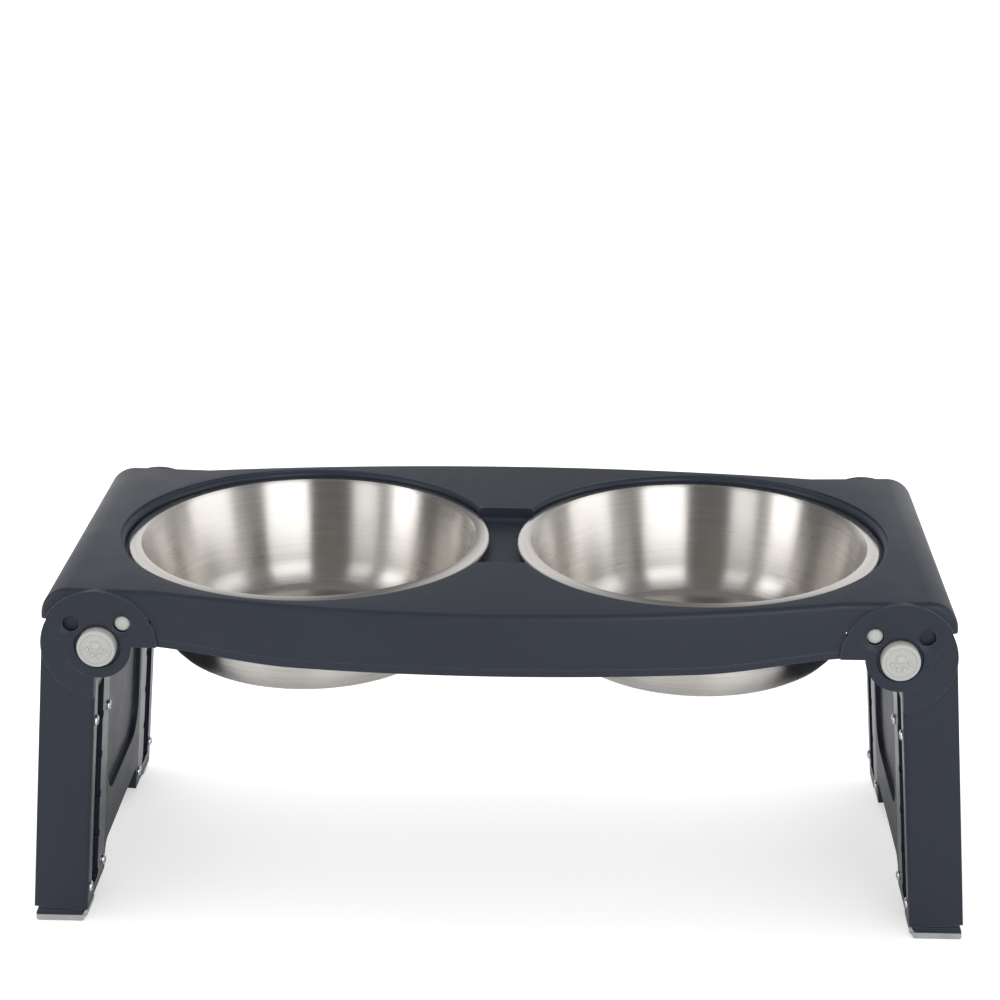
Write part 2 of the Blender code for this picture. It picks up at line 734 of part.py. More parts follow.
def make_leg_frame():
    frame = prism(leg_outline(), -LEG_FRONT, LEG_FRONT, "xz")
    relief = arc((0, 0), HUB_INNER_RADIUS, HUB_INNER_END, math.radians(200), 7)
    far = HUB_RADIUS + BEYOND
    relief += arc((0, 0), far, math.radians(200), HUB_INNER_END, 4)
    cut(frame, prism(relief, -HUB_GUIDE_START, HUB_GUIDE_START, "xz"))
    shape_web(frame)
    for end in (1, -1):
        shape_leg_end(frame, end)
    return frame


def make_rack_cover():
    """Cover plate at +Y with the slot and the notches of the rack."""
    plate = box(
        (LEG_INNER, LEG_INNER + COVER_THICKNESS),
        (COVER_START, COVER_FRONT),
        (-COVER_END, -COVER_TOP),
    )
    inside = LEG_INNER - BEYOND
    outside = LEG_INNER + BEYOND
    step = box(
        (LEG_INNER + COVER_FLANGE, outside),
        (SLOT_FRONT, COVER_FRONT + BEYOND),
        (-COVER_END - BEYOND, -COVER_TOP + BEYOND),
    )
    cut(plate, step)
    half = RACK_NOTCH_HEIGHT / 2
    slope = RACK_NOTCH_SLOPE
    top = -RACK_FIRST + half + slope
    low = -RACK_FIRST - RACK_PITCH * RACK_STEPS - half - slope
    deep = SLOT_START - RACK_NOTCH_DEPTH
    slot = [(SLOT_FRONT, low), (SLOT_FRONT, top), (SLOT_START, top)]
    for i in range(RACK_STEPS + 1):
        middle = -RACK_FIRST - RACK_PITCH * i
        slot.append((SLOT_START, middle + half))
        slot.append((deep, middle + half - slope))
        slot.append((deep, middle - half + slope))
        slot.append((SLOT_START, middle - half))
    slot.append((SLOT_START, low))
    cut(plate, prism(slot, inside, outside, "yz"))
    for across, down in SCREW_PLACES:
        hole = circle((across, -down), SCREW_RADIUS + SCREW_CLEARANCE, 6)
        cut(plate, prism(hole, inside, outside, "yz"))
    return plate


def make_cover_screw(across, down):
    """Pan-head screw of a rack cover, at its height across the leg."""
    head = LEG_INNER - REST_GAP
    shank_end = LEG_INNER + COVER_THICKNESS + REST_GAP + WEB_SKIN / 2
    tip = CAVITY_INNER - REST_GAP if across == FRONT_SCREW else shank_end
    profile = [
        (SCREW_RADIUS, tip),
        (SCREW_RADIUS, head),
        (SCREW_HEAD_RADIUS, head),
        (SCREW_HEAD_RADIUS * 0.7, head - SCREW_HEAD_HEIGHT),
    ]
    return moved(along_x(lathe(profile, 8)), y=across, z=-down)


def floor_at(x, height=0.0):
    """Z in the frame of a leg of a point at x and at a height above the floor."""
    drop = PIVOT_Z - height + x * math.sin(LEG_SPLAY)
    return -drop / math.cos(LEG_SPLAY)


def make_leg_post():
    """Sliding post at +Y with its detent, open at the top."""
    inner = CAVITY_INNER + SLIDE_GAP
    outer = CAVITY_OUTER - SLIDE_GAP
    start = CAVITY_START + SLIDE_GAP
    front = CAVITY_FRONT - SLIDE_GAP
    base = FOOT_THICKNESS + REST_GAP
    corner = inner + POST_CHAMFER_WIDTH
    outline = [
        (inner, -POST_TOP),
        (inner, floor_at(inner, POST_CHAMFER_HEIGHT)),
        (corner, floor_at(corner, base)),
        (outer, floor_at(outer, base)),
        (outer, -POST_TOP),
    ]
    post = prism(outline, start, front, "xz")
    core = box(
        (inner + POST_WALL, outer - POST_WALL),
        (start + POST_WALL, front - POST_WALL),
        (floor_at(inner, POST_CHAMFER_HEIGHT + POST_FLOOR), 0),
    )
    cut(post, core)
    tongue = CAVITY_INNER - SLIDE_GAP
    nub_inner = LEG_INNER + DETENT_INSET
    nub_start = SLOT_START + REST_GAP
    nub = [
        (nub_inner, nub_start),
        (tongue, nub_start),
        (tongue, start + 0.0004),
        (inner + 0.0010, start + 0.0004),
        (inner + 0.0010, start + 0.0052),
        (nub_inner, start + 0.0052),
    ]
    low = -RACK_FIRST - DETENT_HEIGHT / 2
    return join(post, prism(nub, low, low + DETENT_HEIGHT, "xy"))


def make_rubber_foot():
    """Pad at +Y under a post, flat on the floor and wrapped up the chamfer."""
    inner = CAVITY_INNER + SLIDE_GAP
    outer = CAVITY_OUTER - SLIDE_GAP + FOOT_FLARE
    base = FOOT_THICKNESS + REST_GAP
    slope = POST_CHAMFER_WIDTH / (POST_CHAMFER_HEIGHT - base)

    def chamfer(height):
        return inner + (POST_CHAMFER_HEIGHT - height) * slope - 1.2 * REST_GAP

    sole = chamfer(0) - FOOT_WRAP_THICKNESS
    wrap = chamfer(FOOT_WRAP_HEIGHT)
    places = [
        (sole, 0),
        (outer, 0),
        (outer, FOOT_THICKNESS),
        (chamfer(FOOT_THICKNESS), FOOT_THICKNESS),
        (wrap, FOOT_WRAP_HEIGHT),
        (wrap - FOOT_WRAP_THICKNESS, FOOT_WRAP_HEIGHT),
    ]
    outline = [(x, floor_at(x, height)) for x, height in places]
    start = CAVITY_START + SLIDE_GAP - FOOT_FLARE
    front = CAVITY_FRONT - SLIDE_GAP + FOOT_FLARE
    return prism(outline, start, front, "xz")


def make_release_button():
    """Button, arm and lock pin at +Y, in one piece."""
    back = TUBE_END - REST_GAP - BUTTON_ARM
    profile = [
        (BUTTON_RADIUS, back + 0.0005),
        (BUTTON_RADIUS, BUTTON_FACE - 0.0010),
        (BUTTON_RADIUS - 0.0010, BUTTON_FACE),
        (BUTTON_RADIUS - 0.0020, BUTTON_FACE),
        (BUTTON_RADIUS - 0.0023, BUTTON_FACE - 0.0004),
    ]
    button = along_y(lathe(profile, 20))
    centre = pin_centre()
    arm = hull(((0, 0), BUTTON_RADIUS + 0.0008), (centre, PIN_RADIUS), 10)
    join(button, prism(arm, back, back + BUTTON_ARM, "xz"))
    pin = [
        (PIN_RADIUS, back + 0.0010),
        (PIN_RADIUS, PIN_TIP - 0.0016),
        (PIN_RADIUS * 0.8, PIN_TIP - 0.0005),
        (PIN_RADIUS * 0.4, PIN_TIP),
    ]
    pin_piece = along_y(lathe(pin, 12))
    return join(button, moved(pin_piece, x=centre[0], z=centre[1]))


def make_button_spring():
    """Coil at +Y between the hub and the arm of the button."""
    start = SPRING_SEAT + REST_GAP + SPRING_WIRE
    end = TUBE_END - REST_GAP - BUTTON_ARM - REST_GAP - SPRING_WIRE
    steps = 28
    verts = []
    for i in range(steps + 1):
        turn = math.tau * SPRING_TURNS * i / steps
        along = start + (end - start) * i / steps
        for reach, lift in ((0, 1), (1, 0), (0, -1), (-1, 0)):
            spoke = polar(SPRING_RADIUS + SPRING_WIRE * reach, turn)
            verts.append((spoke.x, along + SPRING_WIRE * lift, spoke.y))
    faces = [[0, 1, 2, 3], [4 * steps + k for k in range(4)]]
    for i in range(steps):
        for k in range(4):
            j = (k + 1) % 4
            faces.append([4 * i + k, 4 * i + j, 4 * i + 4 + j, 4 * i + 4 + k])
    return mesh_object(verts, faces)


def place(obj, side):
    """Put a piece of a leg on its splayed hinge."""
    obj.location = (side * PIVOT_X, 0, PIVOT_Z)
    obj.rotation_euler = (0, -side * LEG_SPLAY, 0)
    return obj


def main():
    for obj in list(bpy.data.objects):
        bpy.data.objects.remove(obj, do_unlink=True)
    materials = make_materials()
    slate = materials["slate_plastic"]
    finish(make_tray(), "tray", slate)
    leg_pieces = (
        ("rack_cover", make_rack_cover, slate),
        ("leg_post", make_leg_post, slate),
        ("rubber_foot", make_rubber_foot, materials["foot_rubber"]),
        ("release_button", make_release_button, materials["grey_plastic"]),
        ("button_spring", make_button_spring, materials["zinc_steel"]),
    )
    for side_name, side in SIDES:
        bowl = finish(make_bowl(), "bowl_" + side_name, materials["stainless_steel"])
        bowl.location = (side * BOWL_SPACING / 2, 0, 0)
        frame = mirrored(make_leg_frame(), x=side)
        place(finish(frame, "leg_frame_" + side_name, slate), side)
        for end_name, end in ENDS:
            for name, make, material in leg_pieces:
                piece = mirrored(make(), x=side, y=end)
                full_name = "_".join((name, side_name, end_name))
                place(finish(piece, full_name, material), side)
            for number, screw_place in enumerate(SCREW_PLACES, start=1):
                screw = mirrored(make_cover_screw(*screw_place), x=side, y=end)
                full_name = f"cover_screw_{side_name}_{end_name}_{number}"
                place(finish(screw, full_name, materials["zinc_steel"]), side)


main()
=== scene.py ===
"""Looks of the raised double pet feeder, as seen in its studio photo.

The pieces that show rounded forms are built again from the same sizes as the
part, with more steps and softer edges, and stand in for the plain solids.
"""

import math

import bmesh
import bpy
from mathutils import Matrix, Vector

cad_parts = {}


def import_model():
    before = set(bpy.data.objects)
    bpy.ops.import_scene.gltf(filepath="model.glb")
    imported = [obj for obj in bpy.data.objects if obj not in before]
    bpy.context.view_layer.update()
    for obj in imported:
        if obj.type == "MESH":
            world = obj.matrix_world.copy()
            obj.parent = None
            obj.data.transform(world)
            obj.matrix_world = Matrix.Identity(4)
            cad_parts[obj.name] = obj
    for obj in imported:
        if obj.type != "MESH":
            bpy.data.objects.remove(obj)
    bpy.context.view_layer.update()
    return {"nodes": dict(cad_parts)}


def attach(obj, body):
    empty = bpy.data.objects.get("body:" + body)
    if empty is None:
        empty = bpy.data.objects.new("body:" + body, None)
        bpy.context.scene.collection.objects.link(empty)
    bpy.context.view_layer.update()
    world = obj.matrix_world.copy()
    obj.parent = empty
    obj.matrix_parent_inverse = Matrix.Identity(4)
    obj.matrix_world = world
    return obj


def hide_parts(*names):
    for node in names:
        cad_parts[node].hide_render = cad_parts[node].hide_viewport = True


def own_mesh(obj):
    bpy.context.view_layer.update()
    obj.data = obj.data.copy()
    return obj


# Steps of a round, as a multiple of those in the part's source
FINENESS = 2

# Gaps between pieces that rest on, slide in or turn in each other
REST_GAP = 0.0003
SLIDE_GAP = 0.0003
TURN_GAP = 0.00045

# How far joined solids sink into each other, and how far cutters reach out
OVERLAP = 0.0008
BEYOND = 0.0200

# Sides of the bowls and of what they rest in
ROUND_STEPS = 40

# Bowls
RIM_RADIUS = 0.1055
RIM_WIDTH = 0.0087
MOUTH_RADIUS = RIM_RADIUS - RIM_WIDTH
RIM_ROLL = 0.00135
RIM_CROWN = 0.0009
BOWL_DEPTH = 0.0673
BOWL_GAUGE = 0.0010
BOWL_TAPER = math.radians(10.3)
BOWL_CORNER_RADIUS = 0.0240
MOUTH_DROP = 0.0015
FLANGE_BEND = 0.0020
FLANGE_UNDER_BEND = 0.0031
ROLL_START = math.radians(-110)
ROLL_END = math.radians(80)

# Recesses of the tray that the rims of the bowls rest in
RECESS_CLEARANCE = 0.0017
RECESS_RADIUS = RIM_RADIUS + RECESS_CLEARANCE
LIP_RADIUS = 0.0028
LIP_END = math.radians(100)
COLLAR_WALL = 0.0024
LEDGE_THICKNESS = 0.0027
BOWL_HOLE_CLEARANCE = 0.0015
RECESS_BRIDGE = 0.0130
BOWL_SPACING = 2 * RECESS_RADIUS + RECESS_BRIDGE

# Tray
TRAY_TOP = 0.2068
TRAY_SAG = 0.0028
TRAY_WALL = 0.0025
TRAY_END_MARGIN = 0.0299
TRAY_FRONT_MARGIN = 0.0178
BOW_DEPTH = 0.0210
BOW_END_LENGTH = 0.0630
TRAY_HALF_WIDTH = BOWL_SPACING / 2 + RECESS_RADIUS + TRAY_END_MARGIN
TRAY_MID_HALF_DEPTH = RECESS_RADIUS + TRAY_FRONT_MARGIN
TRAY_END_HALF_DEPTH = TRAY_MID_HALF_DEPTH - BOW_DEPTH
BOW_START = TRAY_HALF_WIDTH - BOW_END_LENGTH
END_FILLET = 0.0160
EDGE_FILLET = 0.0032
LEAST_EDGE_FILLET = 0.0006
SKIRT_DROP = 0.0383
SKIRT_BOTTOM = TRAY_TOP - SKIRT_DROP
SKIRT_RISE = 0.0050
SKIRT_RISE_START = 0.1100
END_SKIRT_DROP = 0.0176
SKIRT_STEP_INTO_EAR = 0.0025
RIM_DROP = 0.0054
RIM_TOP = TRAY_TOP - RIM_DROP
BOWL_BASE = RIM_TOP - BOWL_DEPTH
NOTCH_HALF_LENGTH = 0.0440
NOTCH_HALF_WIDTH = 0.0160
NOTCH_DEPTH = 0.0090
NOTCH_FLOOR = 0.0025
NOTCH_BRIDGE_MARGIN = 0.0060
RIB_THICKNESS = 0.0022
RIB_DROP = 0.0100

# Hinges: the ears of the tray and the tubes behind them
PIVOT_INSET = 0.0308
PIVOT_DROP = 0.0330
PIVOT_X = TRAY_HALF_WIDTH - PIVOT_INSET
PIVOT_Z = TRAY_TOP - PIVOT_DROP
LEG_SPLAY = math.radians(4.9)
EAR_RADIUS = 0.0326
EAR_TIP_RADIUS = 0.0188
EAR_FLANK_TOP = math.radians(31)
EAR_FLANK_FOOT = math.radians(-8)
EAR_STAND = 0.0015
EAR_FACE = TRAY_END_HALF_DEPTH + EAR_STAND
EAR_THICKNESS = 0.0040
TUBE_BORE = 0.0112
TUBE_WALL = 0.0020
TUBE_LENGTH = 0.0202
TUBE_END = EAR_FACE - TUBE_LENGTH
BUTTON_DISH_RADIUS = 0.0131
BUTTON_DISH_DEPTH = 0.0016
BUTTON_DISH_LAND = 0.0011
TOE_RADIUS = 0.0192
TOE_ANGLE = math.radians(47.5)
GROOVE_SKIN = 0.0011
GROOVE_PLAY = 0.0005

# Release buttons with their lock pins, and the springs behind them
BUTTON_RADIUS = 0.0108
BUTTON_TRAVEL = 0.0040
BUTTON_ARM = 0.0030
PIN_RADIUS = 0.0045
PIN_RECESS = GROOVE_SKIN + 0.0004
PIN_TIP = EAR_FACE - PIN_RECESS
PIN_BOSS_WALL = 0.0023
SPRING_RADIUS = 0.0054
SPRING_WIRE = 0.0007
SPRING_LENGTH = 0.0178
SPRING_SEAT = TUBE_END - SPRING_LENGTH

# Leg frames, with depths taken from the faces of the ears
HUB_RADIUS = 0.0312
HUB_TOP_RADIUS = 0.0290
HUB_INNER_RADIUS = 0.0212
HUB_BOSS_RADIUS = 0.0182
HUB_FULL_END = math.radians(60)
HUB_TOP_END = math.radians(150)
HUB_INNER_END = math.radians(70)
HUB_RELIEF_END = math.radians(200)
HUB_BOSS_START = math.radians(175)
HUB_GUIDE_DEPTH = 0.0043
HUB_GUIDE_START = TUBE_END - HUB_GUIDE_DEPTH
HUB_DISC_RADIUS = 0.0316
HUB_DISC_START = math.radians(-88)
HUB_DISC_END = math.radians(40)
HUB_DISC_FACE = EAR_FACE - REST_GAP
LEG_STEP = 0.0017
LEG_FRONT = EAR_FACE - LEG_STEP
LEG_INNER = 0.0010
LEG_GROUND_GAP = 0.0071
LEG_LENGTH = PIVOT_Z - LEG_GROUND_GAP
LEG_CORNER = 0.0030
COLUMN_WIDTH = 0.0520
COLUMN_START = LEG_FRONT - COLUMN_WIDTH
COLUMN_CORNER = 0.0080
WEB_END = LEG_LENGTH - 0.0167
WEB_RECESS = 0.0032
WEB_RECESS_HALF_WIDTH = COLUMN_START - 0.0023
WEB_RECESS_END = LEG_LENGTH - 0.0447
WEB_RECESS_CORNER = 0.0190
WEB_SCOOP_RADIUS = 0.0265
WEB_SKIN = 0.0026
WEB_RIB = 0.0190
WEB_CELL_TOP = 0.0330
COLUMN_CELL_RISE = 0.0030
COLUMN_CELL_INSET = 0.0020

# Rack covers, on the inner faces of the legs, and their screws
COVER_START = COLUMN_START + 0.0037
COVER_FRONT = LEG_FRONT - 0.0038
COVER_TOP = 0.0235
COVER_END = LEG_LENGTH - 0.0027
COVER_THICKNESS = 0.0030
COVER_FLANGE = 0.0013
SLOT_START = COVER_START + 0.0185
SLOT_WIDTH = 0.0182
SLOT_FRONT = SLOT_START + SLOT_WIDTH
SLOT_OVERRUN = 0.0004
FRONT_SCREW = COVER_FRONT - 0.0035
REAR_SCREW = COVER_START + 0.0031
SCREW_PLACES = (
    (FRONT_SCREW, COVER_TOP + 0.0255),
    (REAR_SCREW, COVER_TOP + 0.0335),
    (FRONT_SCREW, COVER_END - 0.0095),
    (REAR_SCREW, COVER_END - 0.0065),
)
SCREW_HEAD_RADIUS = 0.0031
SCREW_HEAD_HEIGHT = 0.0017
SCREW_RADIUS = 0.0014
SCREW_CLEARANCE = 0.0003

# Posts and rubber feet
CAVITY_INNER = LEG_INNER + 0.0037
CAVITY_OUTER = HUB_RADIUS - 0.0018
CAVITY_START = SLOT_START + 0.0075
CAVITY_FRONT = LEG_FRONT - 0.0022
CAVITY_TOP = 0.0185
POST_WALL = 0.0024
POST_CHAMFER_WIDTH = 0.0030
FOOT_THICKNESS = 0.0036
FOOT_FLARE = 0.0004
FOOT_WRAP_HEIGHT = LEG_GROUND_GAP - 0.0005
FOOT_WRAP_THICKNESS = 0.0018

# Camera of the photo
CAMERA_PLACE = (0.04387, -1.29696, 0.68999)
CAMERA_PITCH = 0.3439
CAMERA_YAW = 0.0354
CAMERA_ROLL = 0.0033
CAMERA_LENS = 85.289
SENSOR_WIDTH = 36.0
VIEW_START = 0.01
VIEW_END = 100.0

# Light: the world lights evenly, and only reflections show its bands
WORLD_STRENGTH = 0.9
BAND_GAIN = 3.4
LIGHT_AIM = (0, 0, 0.1)
OVERHEAD_PLACE = (-0.6, 0.5, 2.4)
OVERHEAD_SIZE = (2.4, 2.0)
OVERHEAD_POWER = 20
FILL_PLACE = (0.3, -3.0, 1.5)
FILL_SIZE = (2.5, 2.0)
FILL_POWER = 30

# Upright bands of the world: share of a turn from +Y by way of -X, and tone
BANDS = (
    (0.000, 0.05),
    (0.010, 0.08),
    (0.026, 0.27),
    (0.090, 0.27),
    (0.130, 0.06),
    (0.272, 0.05),
    (0.286, 1.00),
    (0.334, 1.00),
    (0.342, 0.12),
    (0.368, 0.12),
    (0.377, 0.60),
    (0.418, 0.60),
    (0.432, 0.04),
    (0.515, 0.04),
    (0.524, 1.00),
    (0.606, 1.00),
    (0.616, 0.12),
    (0.676, 0.15),
    (0.692, 0.70),
    (0.775, 0.70),
    (0.792, 0.14),
    (0.885, 0.16),
    (0.925, 0.27),
    (0.974, 0.27),
    (0.990, 0.08),
    (1.000, 0.05),
)

# How far up the bands fade into the tone overhead, as the Z of a direction
FADE_START = 0.55
FADE_END = 0.80
ZENITH_TONE = 0.06

# Floor
FLOOR_HALF_SIZE = 8.0
FLOOR_TONE = 0.86
FLOOR_GLOW = 0.42

# Colours, and how much lighter the painted highlight makes the rounded edges of plastic
WHITE = (1.0, 1.0, 1.0, 1.0)
SLATE = (0.0205, 0.0250, 0.0365)
BUTTON_GREY = (0.46, 0.46, 0.44)
STEEL_DULL = (0.60, 0.575, 0.545, 1.0)
STEEL_CLEAR = (0.70, 0.675, 0.645, 1.0)
ZINC_DULL = (0.62, 0.65, 0.68, 1.0)
ZINC_CLEAR = (0.78, 0.80, 0.82, 1.0)
RUBBER_DARK = (0.33, 0.34, 0.34, 1.0)
RUBBER_LIGHT = (0.40, 0.41, 0.41, 1.0)
PAINTED_EDGE_HIGHLIGHT = 9.0

# Lines of the brushed steel: how close across the metal, and along a turn
LINE_DENSITY = 700.0
LINE_TURN = 2.2

# Details that the solids leave out
PIT_HALF_LENGTH = 0.0455
NOTCH_FILLET = 0.0030
LIP_LINE = 0.0042
LIP_GROOVE = 0.0005
TOE_DISH_RADIUS = 0.0086
TOE_DISH_DEPTH = 0.0010

# Faces of the buttons, and their arms and pins
FACE_STAND = 0.0046
FACE_ROUND = 0.0017
FACE_RING = 0.0022
FACE_SINK = 0.0011
FACE_SLOPE = 0.0003
BUTTON_START = 0.0005
ARM_MARGIN = 0.0008
PIN_START = 0.0010
PIN_DOME = 0.0016

# Pads of the paw: centre from the button's axis, half width and half height
PAW_PADS = (
    ((0, 0.0020), 0.0031, 0.0026),
    ((-0.0048, -0.0008), 0.0013, 0.0016),
    ((-0.0018, -0.0038), 0.0013, 0.0017),
    ((0.0018, -0.0038), 0.0013, 0.0017),
    ((0.0048, -0.0008), 0.0013, 0.0016),
)
PAW_RISE = 0.0014
PAD_TOP_SHARE = 0.12

# Rubber feet, with the wrap up each post and the dark collar on top
FOOT_START = CAVITY_START + SLIDE_GAP - FOOT_FLARE
FOOT_FRONT = CAVITY_FRONT - SLIDE_GAP + FOOT_FLARE
FOOT_OUTER = CAVITY_OUTER - SLIDE_GAP + FOOT_FLARE
FOOT_CHAMFER = POST_CHAMFER_WIDTH * 0.75
FOOT_INNER = CAVITY_INNER + SLIDE_GAP + FOOT_CHAMFER - FOOT_WRAP_THICKNESS
FOOT_REACH_OUT = 0.0010
FOOT_REACH_IN = 0.0026
FOOT_ROUND = 0.0016
FOOT_LEAN = 0.45
WRAP_SINK = 0.0004
WRAP_INTO_POST = 0.0012
WRAP_TOP_NEAR = 0.0003
WRAP_TOP_FAR = 0.0020
COLLAR_TOP = FOOT_WRAP_HEIGHT + 0.0002
COLLAR_GAP = 0.0001
COLLAR_LAP = 0.0002
COLLAR_INSET = 0.0014
COLLAR_STEP = 0.0005
COLLAR_ROUND = 0.0004
COLLAR_TOP_ROUND = 0.0003

# Screw heads, with shares of the head's height and radius
HEAD_EDGE_SHARE = 0.15
CROSS_WIDTH = 0.0009
CROSS_REACH_SHARE = 0.62
CROSS_FLOOR_SHARE = 0.35

# Angles past which an edge stays sharp, in degrees
SHARP = 30
SHARP_SMALL = 40
SHARP_BOWL = 50

SIDES = (("left", -1), ("right", 1))
ENDS = (("front", -1), ("rear", 1))


def warped(face):
    """True when a face's corners lie off its plane."""
    centre = face.calc_center_median()
    return any(abs((v.co - centre).dot(face.normal)) > 1e-6 for v in face.verts)


def mesh_object(verts, faces):
    """Object from points and faces, with flat faces that are turned outward."""
    mesh = bpy.data.meshes.new("piece")
    mesh.from_pydata(verts, [], faces)
    shape = bmesh.new()
    shape.from_mesh(mesh)
    bmesh.ops.recalc_face_normals(shape, faces=shape.faces)
    bent = [face for face in shape.faces if warped(face)]
    bmesh.ops.triangulate(shape, faces=bent)
    shape.to_mesh(mesh)
    shape.free()
    obj = bpy.data.objects.new("piece", mesh)
    bpy.context.collection.objects.link(obj)
    return obj


def prism(outline, start, end, plane):
    """Solid with a closed outline, drawn in a plane and run straight across it."""
    order = {"xy": (0, 1, 2), "xz": (0, 2, 1), "yz": (2, 0, 1)}[plane]
    count = len(outline)
    verts = []
    for across in (start, end):
        for a, b in outline:
            place = (a, b, across)
            verts.append(tuple(place[i] for i in order))
    faces = [list(range(count)), list(range(count, 2 * count))]
    for i in range(count):
        j = (i + 1) % count
        faces.append([i, j, count + j, count + i])
    return mesh_object(verts, faces)


def box(x, y, z):
    """Block from its low and high values on each axis."""
    corners = [(x[0], y[0]), (x[1], y[0]), (x[1], y[1]), (x[0], y[1])]
    return prism(corners, z[0], z[1], "xy")


def polar(radius, angle):
    return Vector((radius * math.cos(angle), radius * math.sin(angle)))


def arc(centre, radius, start, end, steps):
    """Points on an arc with both its ends, angles in radians."""
    points = []
    steps *= FINENESS
    for i in range(steps + 1):
        spoke = polar(radius, start + (end - start) * i / steps)
        points.append((centre[0] + spoke.x, centre[1] + spoke.y))
    return points


def circle(centre, radius, steps):
    return arc(centre, radius, 0, math.tau, steps)[:-1]


def turned(outline, angle):
    """Outline turned counter-clockwise about the origin."""
    turn = Matrix.Rotation(angle, 2)
    return [tuple(turn @ Vector(point)) for point in outline]


def hull(first, second, steps):
    """Outline round two circles, each given as (centre, radius)."""
    axis = Vector(second[0]) - Vector(first[0])
    heading = math.atan2(axis.y, axis.x)
    lean = math.acos((first[1] - second[1]) / axis.length)
    outline = arc(*first, heading + lean, heading + math.tau - lean, steps)
    outline += arc(*second, heading - lean, heading + lean, steps // 2)
    return outline


def lathe(profile, steps):
    """Solid turned about Z from a profile with a flat end at each end."""
    verts = []
    rings = []
    count = steps * FINENESS
    for radius, height in profile:
        rings.append(range(len(verts), len(verts) + count))
        verts += [(a, b, height) for a, b in circle((0, 0), radius, steps)]
    faces = [list(rings[0]), list(rings[-1])]
    for low, high in zip(rings, rings[1:]):
        for i in range(count):
            j = (i + 1) % count
            faces.append([low[i], low[j], high[j], high[i]])
    return mesh_object(verts, faces)


def combine(obj, tool, operation):
    """Apply one boolean operation and delete the tool."""
    modifier = obj.modifiers.new("combine", "BOOLEAN")
    modifier.operation = operation
    modifier.solver = "EXACT"
    modifier.object = tool
    graph = bpy.context.evaluated_depsgraph_get()
    mesh = bpy.data.meshes.new_from_object(obj.evaluated_get(graph))
    obj.modifiers.clear()
    obj.data = mesh
    bpy.data.objects.remove(tool, do_unlink=True)
    return obj


def join(obj, tool):
    return combine(obj, tool, "UNION")


def cut(obj, tool):
    return combine(obj, tool, "DIFFERENCE")


def transform(obj, matrix):
    """Move a mesh's points, keeping its faces outward under a mirror."""
    obj.data.transform(matrix)
    if matrix.determinant() < 0:
        obj.data.flip_normals()
    return obj


def along_y(obj):
    return transform(obj, Matrix.Rotation(math.radians(-90), 4, "X"))


def along_x(obj):
    return transform(obj, Matrix.Rotation(math.radians(90), 4, "Y"))


def moved(obj, x=0.0, y=0.0, z=0.0):
    return transform(obj, Matrix.Translation((x, y, z)))


def mirrored(obj, x=1, y=1):
    return transform(obj, Matrix.Diagonal((x, y, 1, 1)))


def half_depth(x):
    """Half depth of the tray at x: straight ends and a bowed middle."""
    bow = TRAY_MID_HALF_DEPTH - TRAY_END_HALF_DEPTH
    if abs(x) >= BOW_START:
        return TRAY_END_HALF_DEPTH
    radius = (BOW_START**2 + bow**2) / (2 * bow)
    return TRAY_MID_HALF_DEPTH - radius + math.sqrt(radius**2 - x**2)


def tray_block(inset, bottom):
    """Solid with the outer form of the tray, drawn in by inset on every side."""
    top = TRAY_TOP - inset
    level_end = TRAY_HALF_WIDTH - END_FILLET
    side = TRAY_HALF_WIDTH - inset
    fillet = END_FILLET - inset
    edge = max(EDGE_FILLET - inset, LEAST_EDGE_FILLET)
    half = [(side, bottom, 0.0)]
    for i in range(11):
        angle = math.radians(9 * i)
        spoke = polar(fillet, angle)
        half.append((side - fillet + spoke.x, top - fillet + spoke.y, angle))
    places = [(side - fillet + BOW_START) / 2]
    places += [BOW_START * i / 14 for i in range(14, -1, -1)]
    for x in places:
        sag = TRAY_SAG * (1 - (x / level_end) ** 2)
        half.append((x, top - sag, math.pi / 2))
    stations = [(-x, z, math.pi - angle) for x, z, angle in half]
    stations += half[-2::-1]

    verts = []
    rows = []
    turns = [(-1, 22.5 * i) for i in range(5)]
    turns += [(1, 22.5 * i) for i in range(4, -1, -1)]
    for end, turn in turns:
        inward = edge * (1 - math.sin(math.radians(turn)))
        back = edge * (1 - math.cos(math.radians(turn)))
        row = []
        for x, z, angle in stations:
            place = Vector((x, z)) - polar(inward, angle)
            row.append(len(verts))
            depth = half_depth(x) - inset - back
            verts.append((place.x, end * depth, place.y if z > bottom else bottom))
        rows.append(row)
    last = len(stations) - 1
    faces = []
    for near, far in zip(rows, rows[1:]):
        faces += [[near[i], near[i + 1], far[i + 1], far[i]] for i in range(last)]
    feet = []
    for row in (rows[0], rows[-1]):
        foot = [row[0]]
        for i in range(2, last - 1):
            foot.append(len(verts))
            verts.append((verts[row[i]][0], verts[row[i]][1], bottom))
        foot.append(row[last])
        for i in range(last - 2):
            faces.append([row[i + 1], row[i + 2], foot[i + 1], foot[i]])
        feet.append(foot)
    left = [row[0] for row in rows[1:-1]]
    right = [row[last] for row in rows[1:-1]]
    faces.append(feet[0] + right + feet[1][::-1] + left[::-1])
    return mesh_object(verts, faces)


